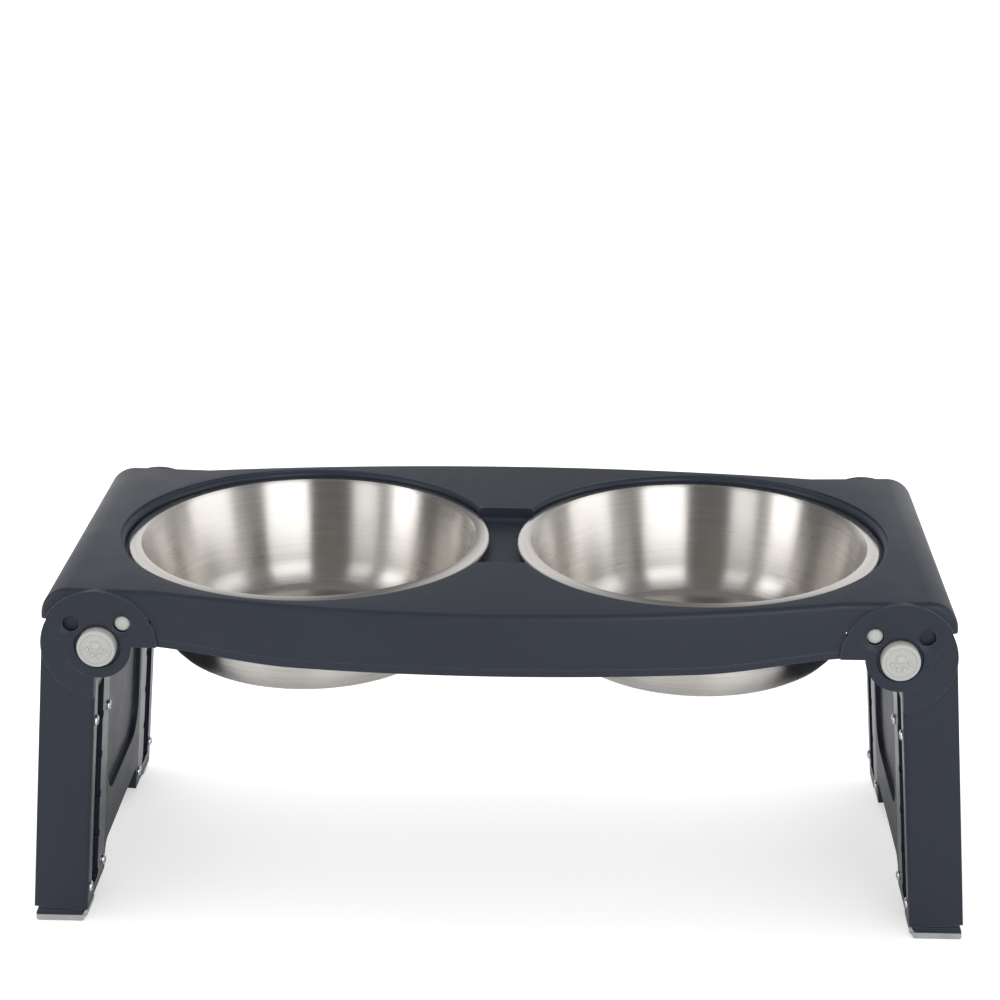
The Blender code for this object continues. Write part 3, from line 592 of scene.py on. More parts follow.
def skirt_trim():
    """Everything below the lower edges of the skirt."""
    step = PIVOT_X - EAR_RADIUS + SKIRT_STEP_INTO_EAR
    steps = 14
    rise = []
    for i in range(steps + 1):
        part = i / steps
        x = SKIRT_RISE_START + (BOW_START - SKIRT_RISE_START) * part
        rise.append((x, SKIRT_BOTTOM + SKIRT_RISE * part**2 * (3 - 2 * part)))
    far = TRAY_HALF_WIDTH + BEYOND
    low = SKIRT_BOTTOM - 1.5 * BEYOND
    front = TRAY_MID_HALF_DEPTH + BEYOND
    end_bottom = TRAY_TOP - END_SKIRT_DROP
    edge = rise + [(step, rise[-1][1]), (step, end_bottom), (far, end_bottom)]
    left = [(-x, z) for x, z in reversed(edge)]
    return prism(left + edge + [(far, low), (-far, low)], -front, front, "xz")


def ear_outline(grow=0.0):
    """Ear of the tray about the hinge of the right leg, grown on every side."""
    rim = EAR_RADIUS + grow
    tip = EAR_TIP_RADIUS + grow
    level = SKIRT_BOTTOM + SKIRT_RISE - PIVOT_Z - grow
    top = polar(EAR_RADIUS, EAR_FLANK_TOP)
    foot = polar(EAR_TIP_RADIUS, EAR_FLANK_FOOT)
    run = (top - foot).normalized()
    aside = Vector((run.y, -run.x)) * grow
    start = math.pi - math.asin(level / rim)
    end = -math.pi - math.asin(level / tip)
    outline = arc((0, 0), rim, start, EAR_FLANK_TOP, 13)[:-1]
    outline += [tuple(top + aside), tuple(foot + aside)]
    outline += arc((0, 0), tip, EAR_FLANK_FOOT, end, 10)[1:]
    return outline


def toe(angle):
    """Centre of a toe, its angle taken from above the hinge."""
    return tuple(polar(TOE_RADIUS, math.pi / 2 + angle))


def groove_outline():
    """Sweep of the lock pin about the hinge, from toe to toe."""
    half = PIN_RADIUS + GROOVE_PLAY
    low = math.pi / 2 - TOE_ANGLE
    high = math.pi / 2 + TOE_ANGLE
    outline = arc((0, 0), TOE_RADIUS + half, low, high, 8)
    outline += arc(toe(TOE_ANGLE), half, high, high + math.pi, 5)[1:-1]
    outline += arc((0, 0), TOE_RADIUS - half, high, low, 8)
    outline += arc(toe(-TOE_ANGLE), half, low - math.pi, low, 5)[1:-1]
    return outline


def dish(centre, outer, inner, depth):
    """Cutter for a shallow cone in the face of an ear."""
    profile = [
        (inner, EAR_FACE - depth),
        (outer, EAR_FACE),
        (outer, EAR_FACE + BEYOND),
    ]
    return moved(along_y(lathe(profile, 18)), x=centre[0], z=centre[1])


def hinge_corner(tool, side, end):
    """Tool made about the hinge at +Y, moved to one corner of the tray."""
    return mirrored(moved(tool, x=PIVOT_X, z=PIVOT_Z), x=side, y=end)


def add_hinge(tray, side, end):
    """Well, ear, tube, groove, dish and toes at one corner of the tray."""
    back = EAR_FACE - EAR_THICKNESS
    into = back - 1.2 * OVERLAP
    out = EAR_FACE + BEYOND
    well = circle((0, 0), HUB_RADIUS + TURN_GAP, 32)
    tube = circle((0, 0), TUBE_BORE + TUBE_WALL, 18)
    bore = circle((0, 0), TUBE_BORE, 20)
    groove_floor = EAR_FACE - GROOVE_SKIN
    cut(tray, hinge_corner(prism(well, into, out, "xz"), side, end))
    join(tray, hinge_corner(prism(ear_outline(), back, EAR_FACE, "xz"), side, end))
    join(tray, hinge_corner(prism(tube, TUBE_END, back + OVERLAP, "xz"), side, end))
    groove = prism(groove_outline(), into, groove_floor, "xz")
    cut(tray, hinge_corner(groove, side, end))
    cut(tray, hinge_corner(prism(bore, TUBE_END - OVERLAP, out, "xz"), side, end))
    inner = TUBE_BORE + BUTTON_DISH_LAND
    button_dish = dish((0, 0), BUTTON_DISH_RADIUS, inner, BUTTON_DISH_DEPTH)
    cut(tray, hinge_corner(button_dish, side, end))
    for angle in (TOE_ANGLE, -TOE_ANGLE):
        centre = toe(angle)
        hole = circle(centre, PIN_RADIUS + SLIDE_GAP, 12)
        cut(tray, hinge_corner(prism(hole, into, out, "xz"), side, end))


def ledge_height():
    """Top of the ledge under the rolled edges of the bowls."""
    return RIM_TOP - 2 * RIM_ROLL - REST_GAP


def recess_cutter():
    """Recess for the rim of a bowl, with a rounded lip at the deck."""
    deck = TRAY_TOP - TRAY_SAG
    profile = [(RECESS_RADIUS, ledge_height())]
    centre = (RECESS_RADIUS + LIP_RADIUS, deck - LIP_RADIUS)
    profile += arc(centre, LIP_RADIUS, math.pi, LIP_END, 2)
    wide = RECESS_RADIUS + 1.5 * LIP_RADIUS
    profile.append((wide, TRAY_TOP + BEYOND))
    return lathe(profile, ROUND_STEPS)


def make_tray():
    """Hollow shell with its recesses, bridge, ribs, finger notch and hinges."""
    stock = SKIRT_BOTTOM - BEYOND / 2
    deck = TRAY_TOP - TRAY_SAG
    under = ledge_height() - LEDGE_THICKNESS
    notch_bottom = deck - NOTCH_DEPTH
    hollow = tray_block(TRAY_WALL, stock - OVERLAP)
    bridge_end = NOTCH_HALF_LENGTH + NOTCH_BRIDGE_MARGIN
    bridge_side = NOTCH_HALF_WIDTH + COLLAR_WALL
    bridge = box(
        (-bridge_side, bridge_side),
        (-bridge_end, bridge_end),
        (notch_bottom - NOTCH_FLOOR, TRAY_TOP),
    )
    cut(hollow, bridge)
    half = RIB_THICKNESS / 2
    for end in (1, -1):
        rib = box(
            (-half, half),
            (bridge_end - OVERLAP, TRAY_MID_HALF_DEPTH + OVERLAP),
            (deck - TRAY_WALL - RIB_DROP, TRAY_TOP),
        )
        cut(hollow, mirrored(rib, y=end))
    collar_radius = RECESS_RADIUS + LIP_RADIUS + COLLAR_WALL
    collar = circle((0, 0), collar_radius, ROUND_STEPS)
    for side in (1, -1):
        ring = prism(collar, under, TRAY_TOP, "xy")
        cut(hollow, moved(ring, x=side * BOWL_SPACING / 2))
    tray = cut(tray_block(0, stock), hollow)
    cut(tray, skirt_trim())
    for side in (1, -1):
        centre = (side * BOWL_SPACING / 2, 0)
        hole = circle(centre, MOUTH_RADIUS + BOWL_HOLE_CLEARANCE, ROUND_STEPS)
        cut(tray, moved(recess_cutter(), x=centre[0]))
        cut(tray, prism(hole, under - BEYOND, TRAY_TOP, "xy"))

    bend = (NOTCH_HALF_LENGTH**2 + NOTCH_DEPTH**2) / (2 * NOTCH_DEPTH)
    reach = 1.05 * math.asin(NOTCH_HALF_LENGTH / bend)
    middle = (0, notch_bottom + bend)
    down = -math.pi / 2
    saddle = arc(middle, bend, down - reach, down + reach, 8)
    cut(tray, prism(saddle, -NOTCH_HALF_WIDTH, NOTCH_HALF_WIDTH, "yz"))
    for side in (1, -1):
        for end in (1, -1):
            add_hinge(tray, side, end)
    return tray


def make_bowl():
    """Pressed bowl with a crowned flange and a rolled edge."""
    top = RIM_TOP - MOUTH_DROP
    corner = BOWL_BASE + BOWL_CORNER_RADIUS
    lean = math.sin(BOWL_TAPER)
    climb = top - corner + BOWL_CORNER_RADIUS * lean
    run = BOWL_CORNER_RADIUS * math.cos(BOWL_TAPER) + climb * math.tan(BOWL_TAPER)
    centre = (MOUTH_RADIUS - run, corner)
    down = -math.pi / 2
    roll = (RIM_RADIUS - RIM_ROLL, RIM_TOP - RIM_ROLL)
    crown = RIM_TOP + RIM_CROWN
    mouth = MOUTH_RADIUS - BOWL_GAUGE
    profile = arc(centre, BOWL_CORNER_RADIUS, down, -BOWL_TAPER, 3)
    profile += [
        (MOUTH_RADIUS, top),
        (mouth + FLANGE_UNDER_BEND, crown - BOWL_GAUGE),
        (roll[0] - RIM_ROLL, RIM_TOP - BOWL_GAUGE),
    ]
    profile += arc(roll, RIM_ROLL, ROLL_START, ROLL_END, 3)
    profile += [
        (mouth + FLANGE_BEND, crown),
        (mouth, top),
    ]
    profile += arc(centre, BOWL_CORNER_RADIUS - BOWL_GAUGE, -BOWL_TAPER, down, 4)
    return lathe(profile, ROUND_STEPS)


def leg_outline():
    """Side view of a leg with its hub."""
    boss_end = 1.5 * math.pi + math.asin(LEG_INNER / HUB_BOSS_RADIUS)
    outline = [(LEG_INNER, -LEG_LENGTH), (HUB_RADIUS, -LEG_LENGTH)]
    outline += arc((0, 0), HUB_RADIUS, 0, HUB_FULL_END, 6)
    outline += arc((0, 0), HUB_TOP_RADIUS, HUB_FULL_END, HUB_TOP_END, 7)
    outline += arc((0, 0), HUB_BOSS_RADIUS, HUB_BOSS_START, boss_end, 6)
    return outline


def pin_centre():
    """Lock pin in the frame of the splayed leg."""
    return turned([toe(TOE_ANGLE)], -LEG_SPLAY)[0]


def chamber_start():
    """Depth in the hub that the arm of a pressed button comes to."""
    return TUBE_END - REST_GAP - BUTTON_ARM - BUTTON_TRAVEL - SLIDE_GAP


def pocket_outline():
    """Plan of the pocket for a rack cover, with the slot behind it."""
    plate = LEG_INNER + COVER_THICKNESS + REST_GAP
    flange = LEG_INNER + COVER_FLANGE + REST_GAP
    behind = CAVITY_INNER + SLOT_OVERRUN
    return [
        (LEG_INNER - BEYOND, COVER_START - REST_GAP),
        (plate, COVER_START - REST_GAP),
        (plate, SLOT_START - REST_GAP),
        (behind, SLOT_START - REST_GAP),
        (behind, SLOT_FRONT + REST_GAP),
        (flange, SLOT_FRONT + REST_GAP),
        (flange, COVER_FRONT + REST_GAP),
        (LEG_INNER - BEYOND, COVER_FRONT + REST_GAP),
    ]


def shape_web(leg):
    """Scoop, recess, gap and cells between the two columns of a leg."""
    half = WEB_RECESS_HALF_WIDTH
    panel = LEG_INNER + WEB_RECESS
    inside = LEG_INNER - BEYOND
    bottom = -LEG_LENGTH - BEYOND
    scoop = circle((0, 0), WEB_SCOOP_RADIUS, 28)
    cut(leg, prism(scoop, -half - OVERLAP, half + OVERLAP, "xz"))
    side = half - WEB_RECESS_CORNER
    low = -WEB_RECESS_END + WEB_RECESS_CORNER
    recess_top = -WEB_SCOOP_RADIUS / 2
    recess = [(half, recess_top), (-half, recess_top)]
    recess += arc((-side, low), WEB_RECESS_CORNER, math.pi, 1.5 * math.pi, 5)
    recess += arc((side, low), WEB_RECESS_CORNER, 1.5 * math.pi, math.tau, 5)
    cut(leg, prism(recess, inside, panel, "yz"))
    side = COLUMN_START - COLUMN_CORNER
    low = -WEB_END - COLUMN_CORNER
    gap = [(-COLUMN_START, bottom), (COLUMN_START, bottom)]
    gap += arc((side, low), COLUMN_CORNER, 0, math.pi / 2, 4)
    gap += arc((-side, low), COLUMN_CORNER, math.pi / 2, math.pi, 4)
    cut(leg, prism(gap, inside, HUB_RADIUS + BEYOND, "yz"))
    depth = (panel + WEB_SKIN, HUB_RADIUS - WEB_SKIN)
    inner = WEB_RIB - RIB_THICKNESS / 2
    outer = WEB_RIB + RIB_THICKNESS / 2
    far = half - WEB_SKIN
    for cell in ((-inner, inner), (outer, far), (-far, -outer)):
        cut(leg, box(depth, cell, (-WEB_END - BEYOND, -WEB_CELL_TOP)))


def corner_cutter():
    """Rounds the inner edge of a leg's face, below the disc of the hub."""
    centre = (LEG_INNER + LEG_CORNER, LEG_FRONT - LEG_CORNER)
    outline = arc(centre, LEG_CORNER, math.pi, math.pi / 2, 3)
    outline.append((centre[0], LEG_FRONT + OVERLAP))
    outline.append((LEG_INNER - OVERLAP, LEG_FRONT + OVERLAP))
    outline.append((LEG_INNER - OVERLAP, centre[1]))
    return prism(outline, -LEG_LENGTH - BEYOND, -HUB_DISC_RADIUS - REST_GAP, "xy")


def shape_leg_end(leg, end):
    """Hub, hinge seat, chamber, post cavity and cover pocket at one end."""
    pin = pin_centre()
    bore = TUBE_BORE + TUBE_WALL + TURN_GAP
    pin_hole = PIN_RADIUS + SLIDE_GAP
    start = chamber_start()
    hub_face = EAR_FACE - EAR_THICKNESS - TURN_GAP
    wall = LEG_INNER + COVER_THICKNESS + REST_GAP + WEB_SKIN
    out = EAR_FACE + BEYOND
    bottom = -LEG_LENGTH - BEYOND

    boss = circle(pin, pin_hole + PIN_BOSS_WALL, 10)
    boss_start = start - PIN_BOSS_WALL
    boss = prism(boss, boss_start, HUB_GUIDE_START + OVERLAP, "xz")
    join(leg, mirrored(boss, y=end))
    disc = arc((0, 0), HUB_DISC_RADIUS, HUB_DISC_START, HUB_DISC_END, 11)
    disc.append((LEG_INNER + REST_GAP, HUB_DISC_RADIUS / 3))
    disc = prism(disc, LEG_FRONT - OVERLAP, HUB_DISC_FACE, "xz")
    join(leg, mirrored(disc, y=end))

    chamber = hull(((0, 0), bore + SLIDE_GAP), (pin, pin_hole + SLIDE_GAP), 14)
    coil = circle((0, 0), SPRING_RADIUS + SPRING_WIRE + 2 * SLIDE_GAP, 12)
    tools = [
        prism(turned(ear_outline(TURN_GAP), -LEG_SPLAY), hub_face, out, "xz"),
        prism(chamber, start, TUBE_END, "xz"),
        prism(coil, SPRING_SEAT, start + OVERLAP, "xz"),
        prism(circle((0, 0), bore, 20), TUBE_END - OVERLAP, out, "xz"),
        prism(circle(pin, pin_hole, 12), TUBE_END - OVERLAP, out, "xz"),
        box(
            (CAVITY_INNER, CAVITY_OUTER),
            (CAVITY_START, CAVITY_FRONT),
            (bottom, -CAVITY_TOP),
        ),
        box(
            (wall, HUB_RADIUS - WEB_SKIN),
            (COVER_START + COLUMN_CELL_INSET, CAVITY_START - POST_WALL),
            (bottom, -WEB_CELL_TOP + COLUMN_CELL_RISE),
        ),
        prism(pocket_outline(), -COVER_END - REST_GAP, -COVER_TOP + REST_GAP, "xy"),
        corner_cutter(),
    ]
    for across, down in SCREW_PLACES:
        hole = circle((across, -down), SCREW_RADIUS + SCREW_CLEARANCE, 6)
        depth = CAVITY_INNER + OVERLAP if across == FRONT_SCREW else wall - REST_GAP
        tools.append(prism(hole, LEG_INNER - OVERLAP, depth, "yz"))
    for tool in tools:
        cut(leg, mirrored(tool, y=end))


def make_leg_frame():
    """Leg about its hinge line, which lies on Y, before its splay."""
    leg = prism(leg_outline(), -LEG_FRONT, LEG_FRONT, "xz")
    relief = arc((0, 0), HUB_INNER_RADIUS, HUB_INNER_END, HUB_RELIEF_END, 7)
    far = HUB_RADIUS + BEYOND
    relief += arc((0, 0), far, HUB_RELIEF_END, HUB_INNER_END, 4)
    cut(leg, prism(relief, -HUB_GUIDE_START, HUB_GUIDE_START, "xz"))
    shape_web(leg)
    for end in (1, -1):
        shape_leg_end(leg, end)
    return leg


def floor_at(x, height):
    """Z in the frame of a leg of a point at x and at a height above the floor."""
    drop = PIVOT_Z - height + x * math.sin(LEG_SPLAY)
    return -drop / math.cos(LEG_SPLAY)


class Nodes:
    """Short way to add and link the nodes of one material or world."""

    def __init__(self, tree):
        self.tree = tree

    def add(self, kind, inputs=None, **settings):
        node = self.tree.nodes.new("ShaderNode" + kind)
        for name, value in settings.items():
            setattr(node, name, value)
        for name, value in (inputs or {}).items():
            self.put(node.inputs[name], value)
        return node

    def put(self, socket, value):
        if isinstance(value, bpy.types.NodeSocket):
            self.tree.links.new(value, socket)
        else:
            socket.default_value = value

    def math(self, operation, *values):
        node = self.add("Math", operation=operation)
        for socket, value in zip(node.inputs, values):
            self.put(socket, value)
        return node.outputs[0]

    def blend(self, factor, low, high):
        node = self.add("Mix", data_type="RGBA")
        self.put(node.inputs["Factor"], factor)
        self.put(node.inputs[6], low)
        self.put(node.inputs[7], high)
        return node.outputs[2]

    def noise(self, place, scale, detail=3.0):
        inputs = {"Vector": place, "Scale": scale, "Detail": detail}
        return self.add("TexNoise", inputs).outputs["Fac"]

    def spread(self, value, low, high, start=0.3, end=0.7):
        inputs = {"Value": value, "From Min": start, "From Max": end}
        inputs.update({"To Min": low, "To Max": high})
        return self.add("MapRange", inputs).outputs["Result"]

    def bump(self, height, distance, strength, normal=None):
        inputs = {"Height": height, "Distance": distance, "Strength": strength}
        if normal is not None:
            inputs["Normal"] = normal
        return self.add("Bump", inputs).outputs["Normal"]


def new_material(name):
    material = bpy.data.materials.new(name)
    material.use_nodes = True
    nodes = Nodes(material.node_tree)
    return material, nodes, material.node_tree.nodes["Principled BSDF"]


def grey(tone):
    return (tone, tone, tone, 1.0)


def grade(colour, factor):
    """Colour made darker or lighter, with its alpha."""
    return tuple(min(1.0, value * factor) for value in colour) + (1.0,)


def plastic(name, colour, roughness, grain, edge):
    """Moulded plastic with faint clouds, a fine grain, soft edges and a painted
    highlight along them.

    Grain is the depth of the grain, and edge the radius of the soft edges, which also
    sets the width of the painted highlight on them.
    """
    material, nodes, shader = new_material(name)
    place = nodes.add("TexCoord").outputs["Object"]
    clouds = nodes.noise(place, 14.0)
    specks = nodes.noise(place, 900.0, detail=2.0)
    tone = nodes.math("MULTIPLY_ADD", clouds, 0.7, nodes.math("MULTIPLY", specks, 0.3))
    dark, light = grade(colour, 0.93), grade(colour, 1.07)
    tint = nodes.blend(nodes.spread(tone, 0.0, 1.0), dark, light)

    # Painted highlight: where the bevelled normal turns away from the true one, at
    # convex and concave edges alike, the colour is mixed towards a far lighter tone
    flat = nodes.add("NewGeometry").outputs["Normal"]
    line = nodes.add("Bevel", {"Radius": 0.7 * edge}, samples=8).outputs["Normal"]
    agree = nodes.add("VectorMath", operation="DOT_PRODUCT")
    nodes.put(agree.inputs[0], line)
    nodes.put(agree.inputs[1], flat)
    rim = nodes.spread(agree.outputs["Value"], 0.7, 0.0, start=0.76, end=0.97)
    tint = nodes.blend(rim, tint, grade(colour, PAINTED_EDGE_HIGHLIGHT))
    nodes.put(shader.inputs["Base Color"], tint)

    rough = nodes.spread(nodes.noise(place, 40.0), roughness - 0.03, roughness + 0.03)
    nodes.put(shader.inputs["Roughness"], rough)
    soft = nodes.add("Bevel", {"Radius": edge}, samples=8).outputs["Normal"]
    nodes.put(shader.inputs["Normal"], nodes.bump(specks, grain, 0.25, soft))
    shader.inputs["Specular IOR Level"].default_value = 0.25
    return material


def steel():
    """Stainless sheet with fine lines round the axis of the bowl."""
    material, nodes, shader = new_material("brushed_steel")
    place = nodes.add("TexCoord").outputs["Object"]
    parts = nodes.add("SeparateXYZ", {"Vector": place}).outputs
    square = nodes.math("MULTIPLY", parts[0], parts[0])
    square = nodes.math("ADD", square, nodes.math("MULTIPLY", parts[1], parts[1]))
    across = nodes.math("SQRT", square)
    angle = nodes.math("ARCTAN2", parts[1], parts[0])
    inputs = {
        "X": nodes.math("MULTIPLY", across, LINE_DENSITY),
        "Y": nodes.math("MULTIPLY", parts[2], LINE_DENSITY),
        "Z": nodes.math("MULTIPLY", angle, LINE_TURN),
    }
    lines = nodes.noise(nodes.add("CombineXYZ", inputs).outputs[0], 1.0, detail=4.0)
    broad = nodes.noise(place, 22.0)
    tint = nodes.blend(nodes.spread(lines, 0.0, 1.0), STEEL_DULL, STEEL_CLEAR)
    nodes.put(shader.inputs["Base Color"], tint)

    normal = nodes.add("NewGeometry").outputs["Normal"]
    facing = nodes.add("SeparateXYZ", {"Vector": normal}).outputs[2]
    flat = nodes.spread(nodes.math("ABSOLUTE", facing), 0.0, 1.0, start=0.75, end=0.98)
    fine_lines = nodes.spread(lines, 0.28, 0.33)
    sheen = nodes.math("ADD", fine_lines, nodes.spread(broad, -0.02, 0.02))
    rough = nodes.math("SUBTRACT", sheen, nodes.math("MULTIPLY", flat, 0.14))
    nodes.put(shader.inputs["Roughness"], rough)
    shader.inputs["Metallic"].default_value = 1.0
    streak = nodes.spread(flat, 0.99, 0.35, start=0.0, end=1.0)
    nodes.put(shader.inputs["Anisotropic"], streak)
    shader.inputs["Anisotropic Rotation"].default_value = 0.25
    tangent = nodes.add("Tangent", direction_type="RADIAL", axis="Z").outputs[0]
    nodes.put(shader.inputs["Tangent"], tangent)
    nodes.put(shader.inputs["Normal"], nodes.bump(lines, 0.00001, 0.4))
    return material


def zinc():
    """Bright plated steel of the screws and springs."""
    material, nodes, shader = new_material("bright_zinc")
    place = nodes.add("TexCoord").outputs["Object"]
    mottle = nodes.noise(place, 500.0)
    tint = nodes.blend(nodes.spread(mottle, 0.0, 1.0), ZINC_DULL, ZINC_CLEAR)
    nodes.put(shader.inputs["Base Color"], tint)
    nodes.put(shader.inputs["Roughness"], nodes.spread(mottle, 0.18, 0.30))
    shader.inputs["Metallic"].default_value = 1.0
    return material


def rubber():
    """Matt rubber of the feet."""
    material, nodes, shader = new_material("foot_rubber")
    place = nodes.add("TexCoord").outputs["Object"]
    clouds = nodes.noise(place, 60.0)
    specks = nodes.noise(place, 1400.0, detail=2.0)
    tint = nodes.blend(nodes.spread(clouds, 0.0, 1.0), RUBBER_DARK, RUBBER_LIGHT)
    nodes.put(shader.inputs["Base Color"], tint)
    nodes.put(shader.inputs["Roughness"], nodes.spread(specks, 0.72, 0.88))
    soft = nodes.add("Bevel", {"Radius": 0.0004}, samples=6).outputs["Normal"]
    nodes.put(shader.inputs["Normal"], nodes.bump(specks, 0.00005, 0.4, soft))
    return material


def dress(obj, material):
    obj.data.materials.clear()
    obj.data.materials.append(material)


def fine(obj, name, material, angle=SHARP):
    """Name a made piece and shade its round faces smooth."""
    obj.name = name
    obj.data.name = name
    dress(obj, material)
    obj.data.shade_smooth()
    obj.data.set_sharp_from_angle(angle=math.radians(angle))


def make_world():
    """White to the camera, even on the object, and banded in its reflections."""
    world = bpy.data.worlds.new("studio")
    world.use_nodes = True
    bpy.context.scene.world = world
    nodes = Nodes(world.node_tree)
    background = world.node_tree.nodes["Background"]
    heading = nodes.add("TexCoord").outputs["Generated"]
    parts = nodes.add("SeparateXYZ", {"Vector": heading}).outputs
    azimuth = nodes.math("ARCTAN2", parts[0], nodes.math("MULTIPLY", parts[1], -1.0))
    turn = nodes.math("ADD", nodes.math("DIVIDE", azimuth, math.tau), 0.5)
    ramp = nodes.add("ValToRGB", {"Fac": turn})
    bands = ramp.color_ramp
    bands.interpolation = "EASE"
    start, end = bands.elements
    start.position, start.color = BANDS[0][0], grey(BANDS[0][1])
    end.position, end.color = BANDS[-1][0], grey(BANDS[-1][1])
    for place, tone in BANDS[1:-1]:
        bands.elements.new(place).color = grey(tone)
    fade = nodes.spread(parts[2], 0.0, 1.0, start=FADE_START, end=FADE_END)
    sky = nodes.blend(fade, ramp.outputs["Color"], grey(ZENITH_TONE))
    rays = nodes.add("LightPath").outputs
    lit = nodes.blend(rays["Is Glossy Ray"], grey(WORLD_STRENGTH), sky)
    seen = nodes.blend(rays["Is Camera Ray"], lit, WHITE)
    nodes.put(background.inputs["Color"], seen)
    gain = nodes.math("MULTIPLY_ADD", rays["Is Glossy Ray"], BAND_GAIN - 1, 1.0)
    nodes.put(background.inputs["Strength"], gain)


def add_light(name, place, size, power):
    """Soft light that no reflection shows."""
    data = bpy.data.lights.new(name, "AREA")
    data.shape = "RECTANGLE"
    data.size, data.size_y = size
    data.energy = power
    light = bpy.data.objects.new(name, data)
    light.location = place
    aim = Vector(LIGHT_AIM) - Vector(place)
    light.rotation_euler = aim.to_track_quat("-Z", "Y").to_euler()
    light.visible_glossy = False
    bpy.context.collection.objects.link(light)


def make_camera():
    data = bpy.data.cameras.new("camera")
    data.lens = CAMERA_LENS
    data.sensor_width = SENSOR_WIDTH
    data.clip_start = VIEW_START
    data.clip_end = VIEW_END
    camera = bpy.data.objects.new("camera", data)
    bpy.context.collection.objects.link(camera)
    yaw = Matrix.Rotation(CAMERA_YAW, 4, "Z")
    pitch = Matrix.Rotation(math.pi / 2 - CAMERA_PITCH, 4, "X")
    roll = Matrix.Rotation(CAMERA_ROLL, 4, "Z")
    turn = yaw @ pitch
    camera.matrix_world = Matrix.Translation(CAMERA_PLACE) @ turn @ roll
    bpy.context.scene.camera = camera


def make_floor():
    """White floor that shows the shadow and glows a little to the camera."""
    size = FLOOR_HALF_SIZE
    verts = [(-size, -size, 0), (size, -size, 0), (size, size, 0), (-size, size, 0)]
    floor = mesh_object(verts, [[0, 1, 2, 3]])
    material, nodes, shader = new_material("studio_floor")
    shader.inputs["Base Color"].default_value = grey(FLOOR_TONE)
    shader.inputs["Roughness"].default_value = 0.9
    shader.inputs["Specular IOR Level"].default_value = 0.1
    shader.inputs["Emission Color"].default_value = WHITE
    seen = nodes.add("LightPath").outputs["Is Camera Ray"]
    glow = nodes.math("MULTIPLY", seen, FLOOR_GLOW)
    nodes.put(shader.inputs["Emission Strength"], glow)
    floor.name = "studio_floor"
    dress(floor, material)


def lip_groove(end):
    """Line along the foot of the skirt, on one long side of the tray."""
    verts = []
    faces = []
    steps = 56
    for i in range(steps + 1):
        x = BOW_START * (2 * i / steps - 1)
        part = (abs(x) - SKIRT_RISE_START) / (BOW_START - SKIRT_RISE_START)
        part = max(0.0, part)
        z = SKIRT_BOTTOM + SKIRT_RISE * part**2 * (3 - 2 * part) + LIP_LINE
        out = half_depth(x) + LIP_GROOVE
        verts.append((x, end * out, z + 2 * LIP_GROOVE))
        verts.append((x, end * out, z - 2 * LIP_GROOVE))
        verts.append((x, end * (out - 2 * LIP_GROOVE), z))
    for i in range(steps):
        for a, b in ((0, 1), (1, 2), (2, 0)):
            faces.append([3 * i + a, 3 * i + b, 3 * i + 3 + b, 3 * i + 3 + a])
    faces += [[0, 1, 2], [3 * steps, 3 * steps + 1, 3 * steps + 2]]
    return mesh_object(verts, faces)


def soft_dish(centre, outer, inner, depth):
    """Cutter for a shallow funnel with a rounded slope in the face of an ear."""
    profile = []
    for i in range(7):
        part = i / 6
        rise = part**2 * (3 - 2 * part)
        profile.append((inner + (outer - inner) * part, EAR_FACE - depth * (1 - rise)))
    profile.append((outer, EAR_FACE + BEYOND))
    return moved(along_y(lathe(profile, 14)), x=centre[0], z=centre[1])


def dressed_tray():
    """Tray with a rounded finger notch, lines on its skirt and soft dishes."""
    tray = make_tray()
    deck = TRAY_TOP - TRAY_SAG
    corner = NOTCH_FILLET
    low = deck - NOTCH_DEPTH + corner
    down = -math.pi / 2
    pit = arc((PIT_HALF_LENGTH - corner, low), corner, down, 0, 4)
    pit += [(PIT_HALF_LENGTH, deck + corner), (-PIT_HALF_LENGTH, deck + corner)]
    pit += arc((corner - PIT_HALF_LENGTH, low), corner, -math.pi, down, 4)
    half = NOTCH_HALF_WIDTH + OVERLAP
    cut(tray, prism(pit, -half, half, "yz"))
    for end in (1, -1):
        cut(tray, lip_groove(end))
        for side in (1, -1):
            for angle in (TOE_ANGLE, -TOE_ANGLE):
                inner = PIN_RADIUS + SLIDE_GAP
                toe_dish = soft_dish(toe(angle), TOE_DISH_RADIUS, inner, TOE_DISH_DEPTH)
                cut(tray, hinge_corner(toe_dish, side, end))
    return tray


def pad_blob(centre, width, height, low, high):
    """Low rounded pad of the paw on a button, as a stepped dome."""
    profile = []
    steps = 5
    for i in range(steps + 1):
        turn = math.pi / 2 * i / steps
        width_share = max(PAD_TOP_SHARE, math.cos(turn))
        profile.append((width_share, low + (high - low) * math.sin(turn)))
    profile.insert(0, (1.0, low - PAW_RISE))
    blob = along_y(lathe(profile, 12))
    transform(blob, Matrix.Diagonal((width, 1, height, 1)))
    return moved(blob, x=centre[0], z=centre[1])


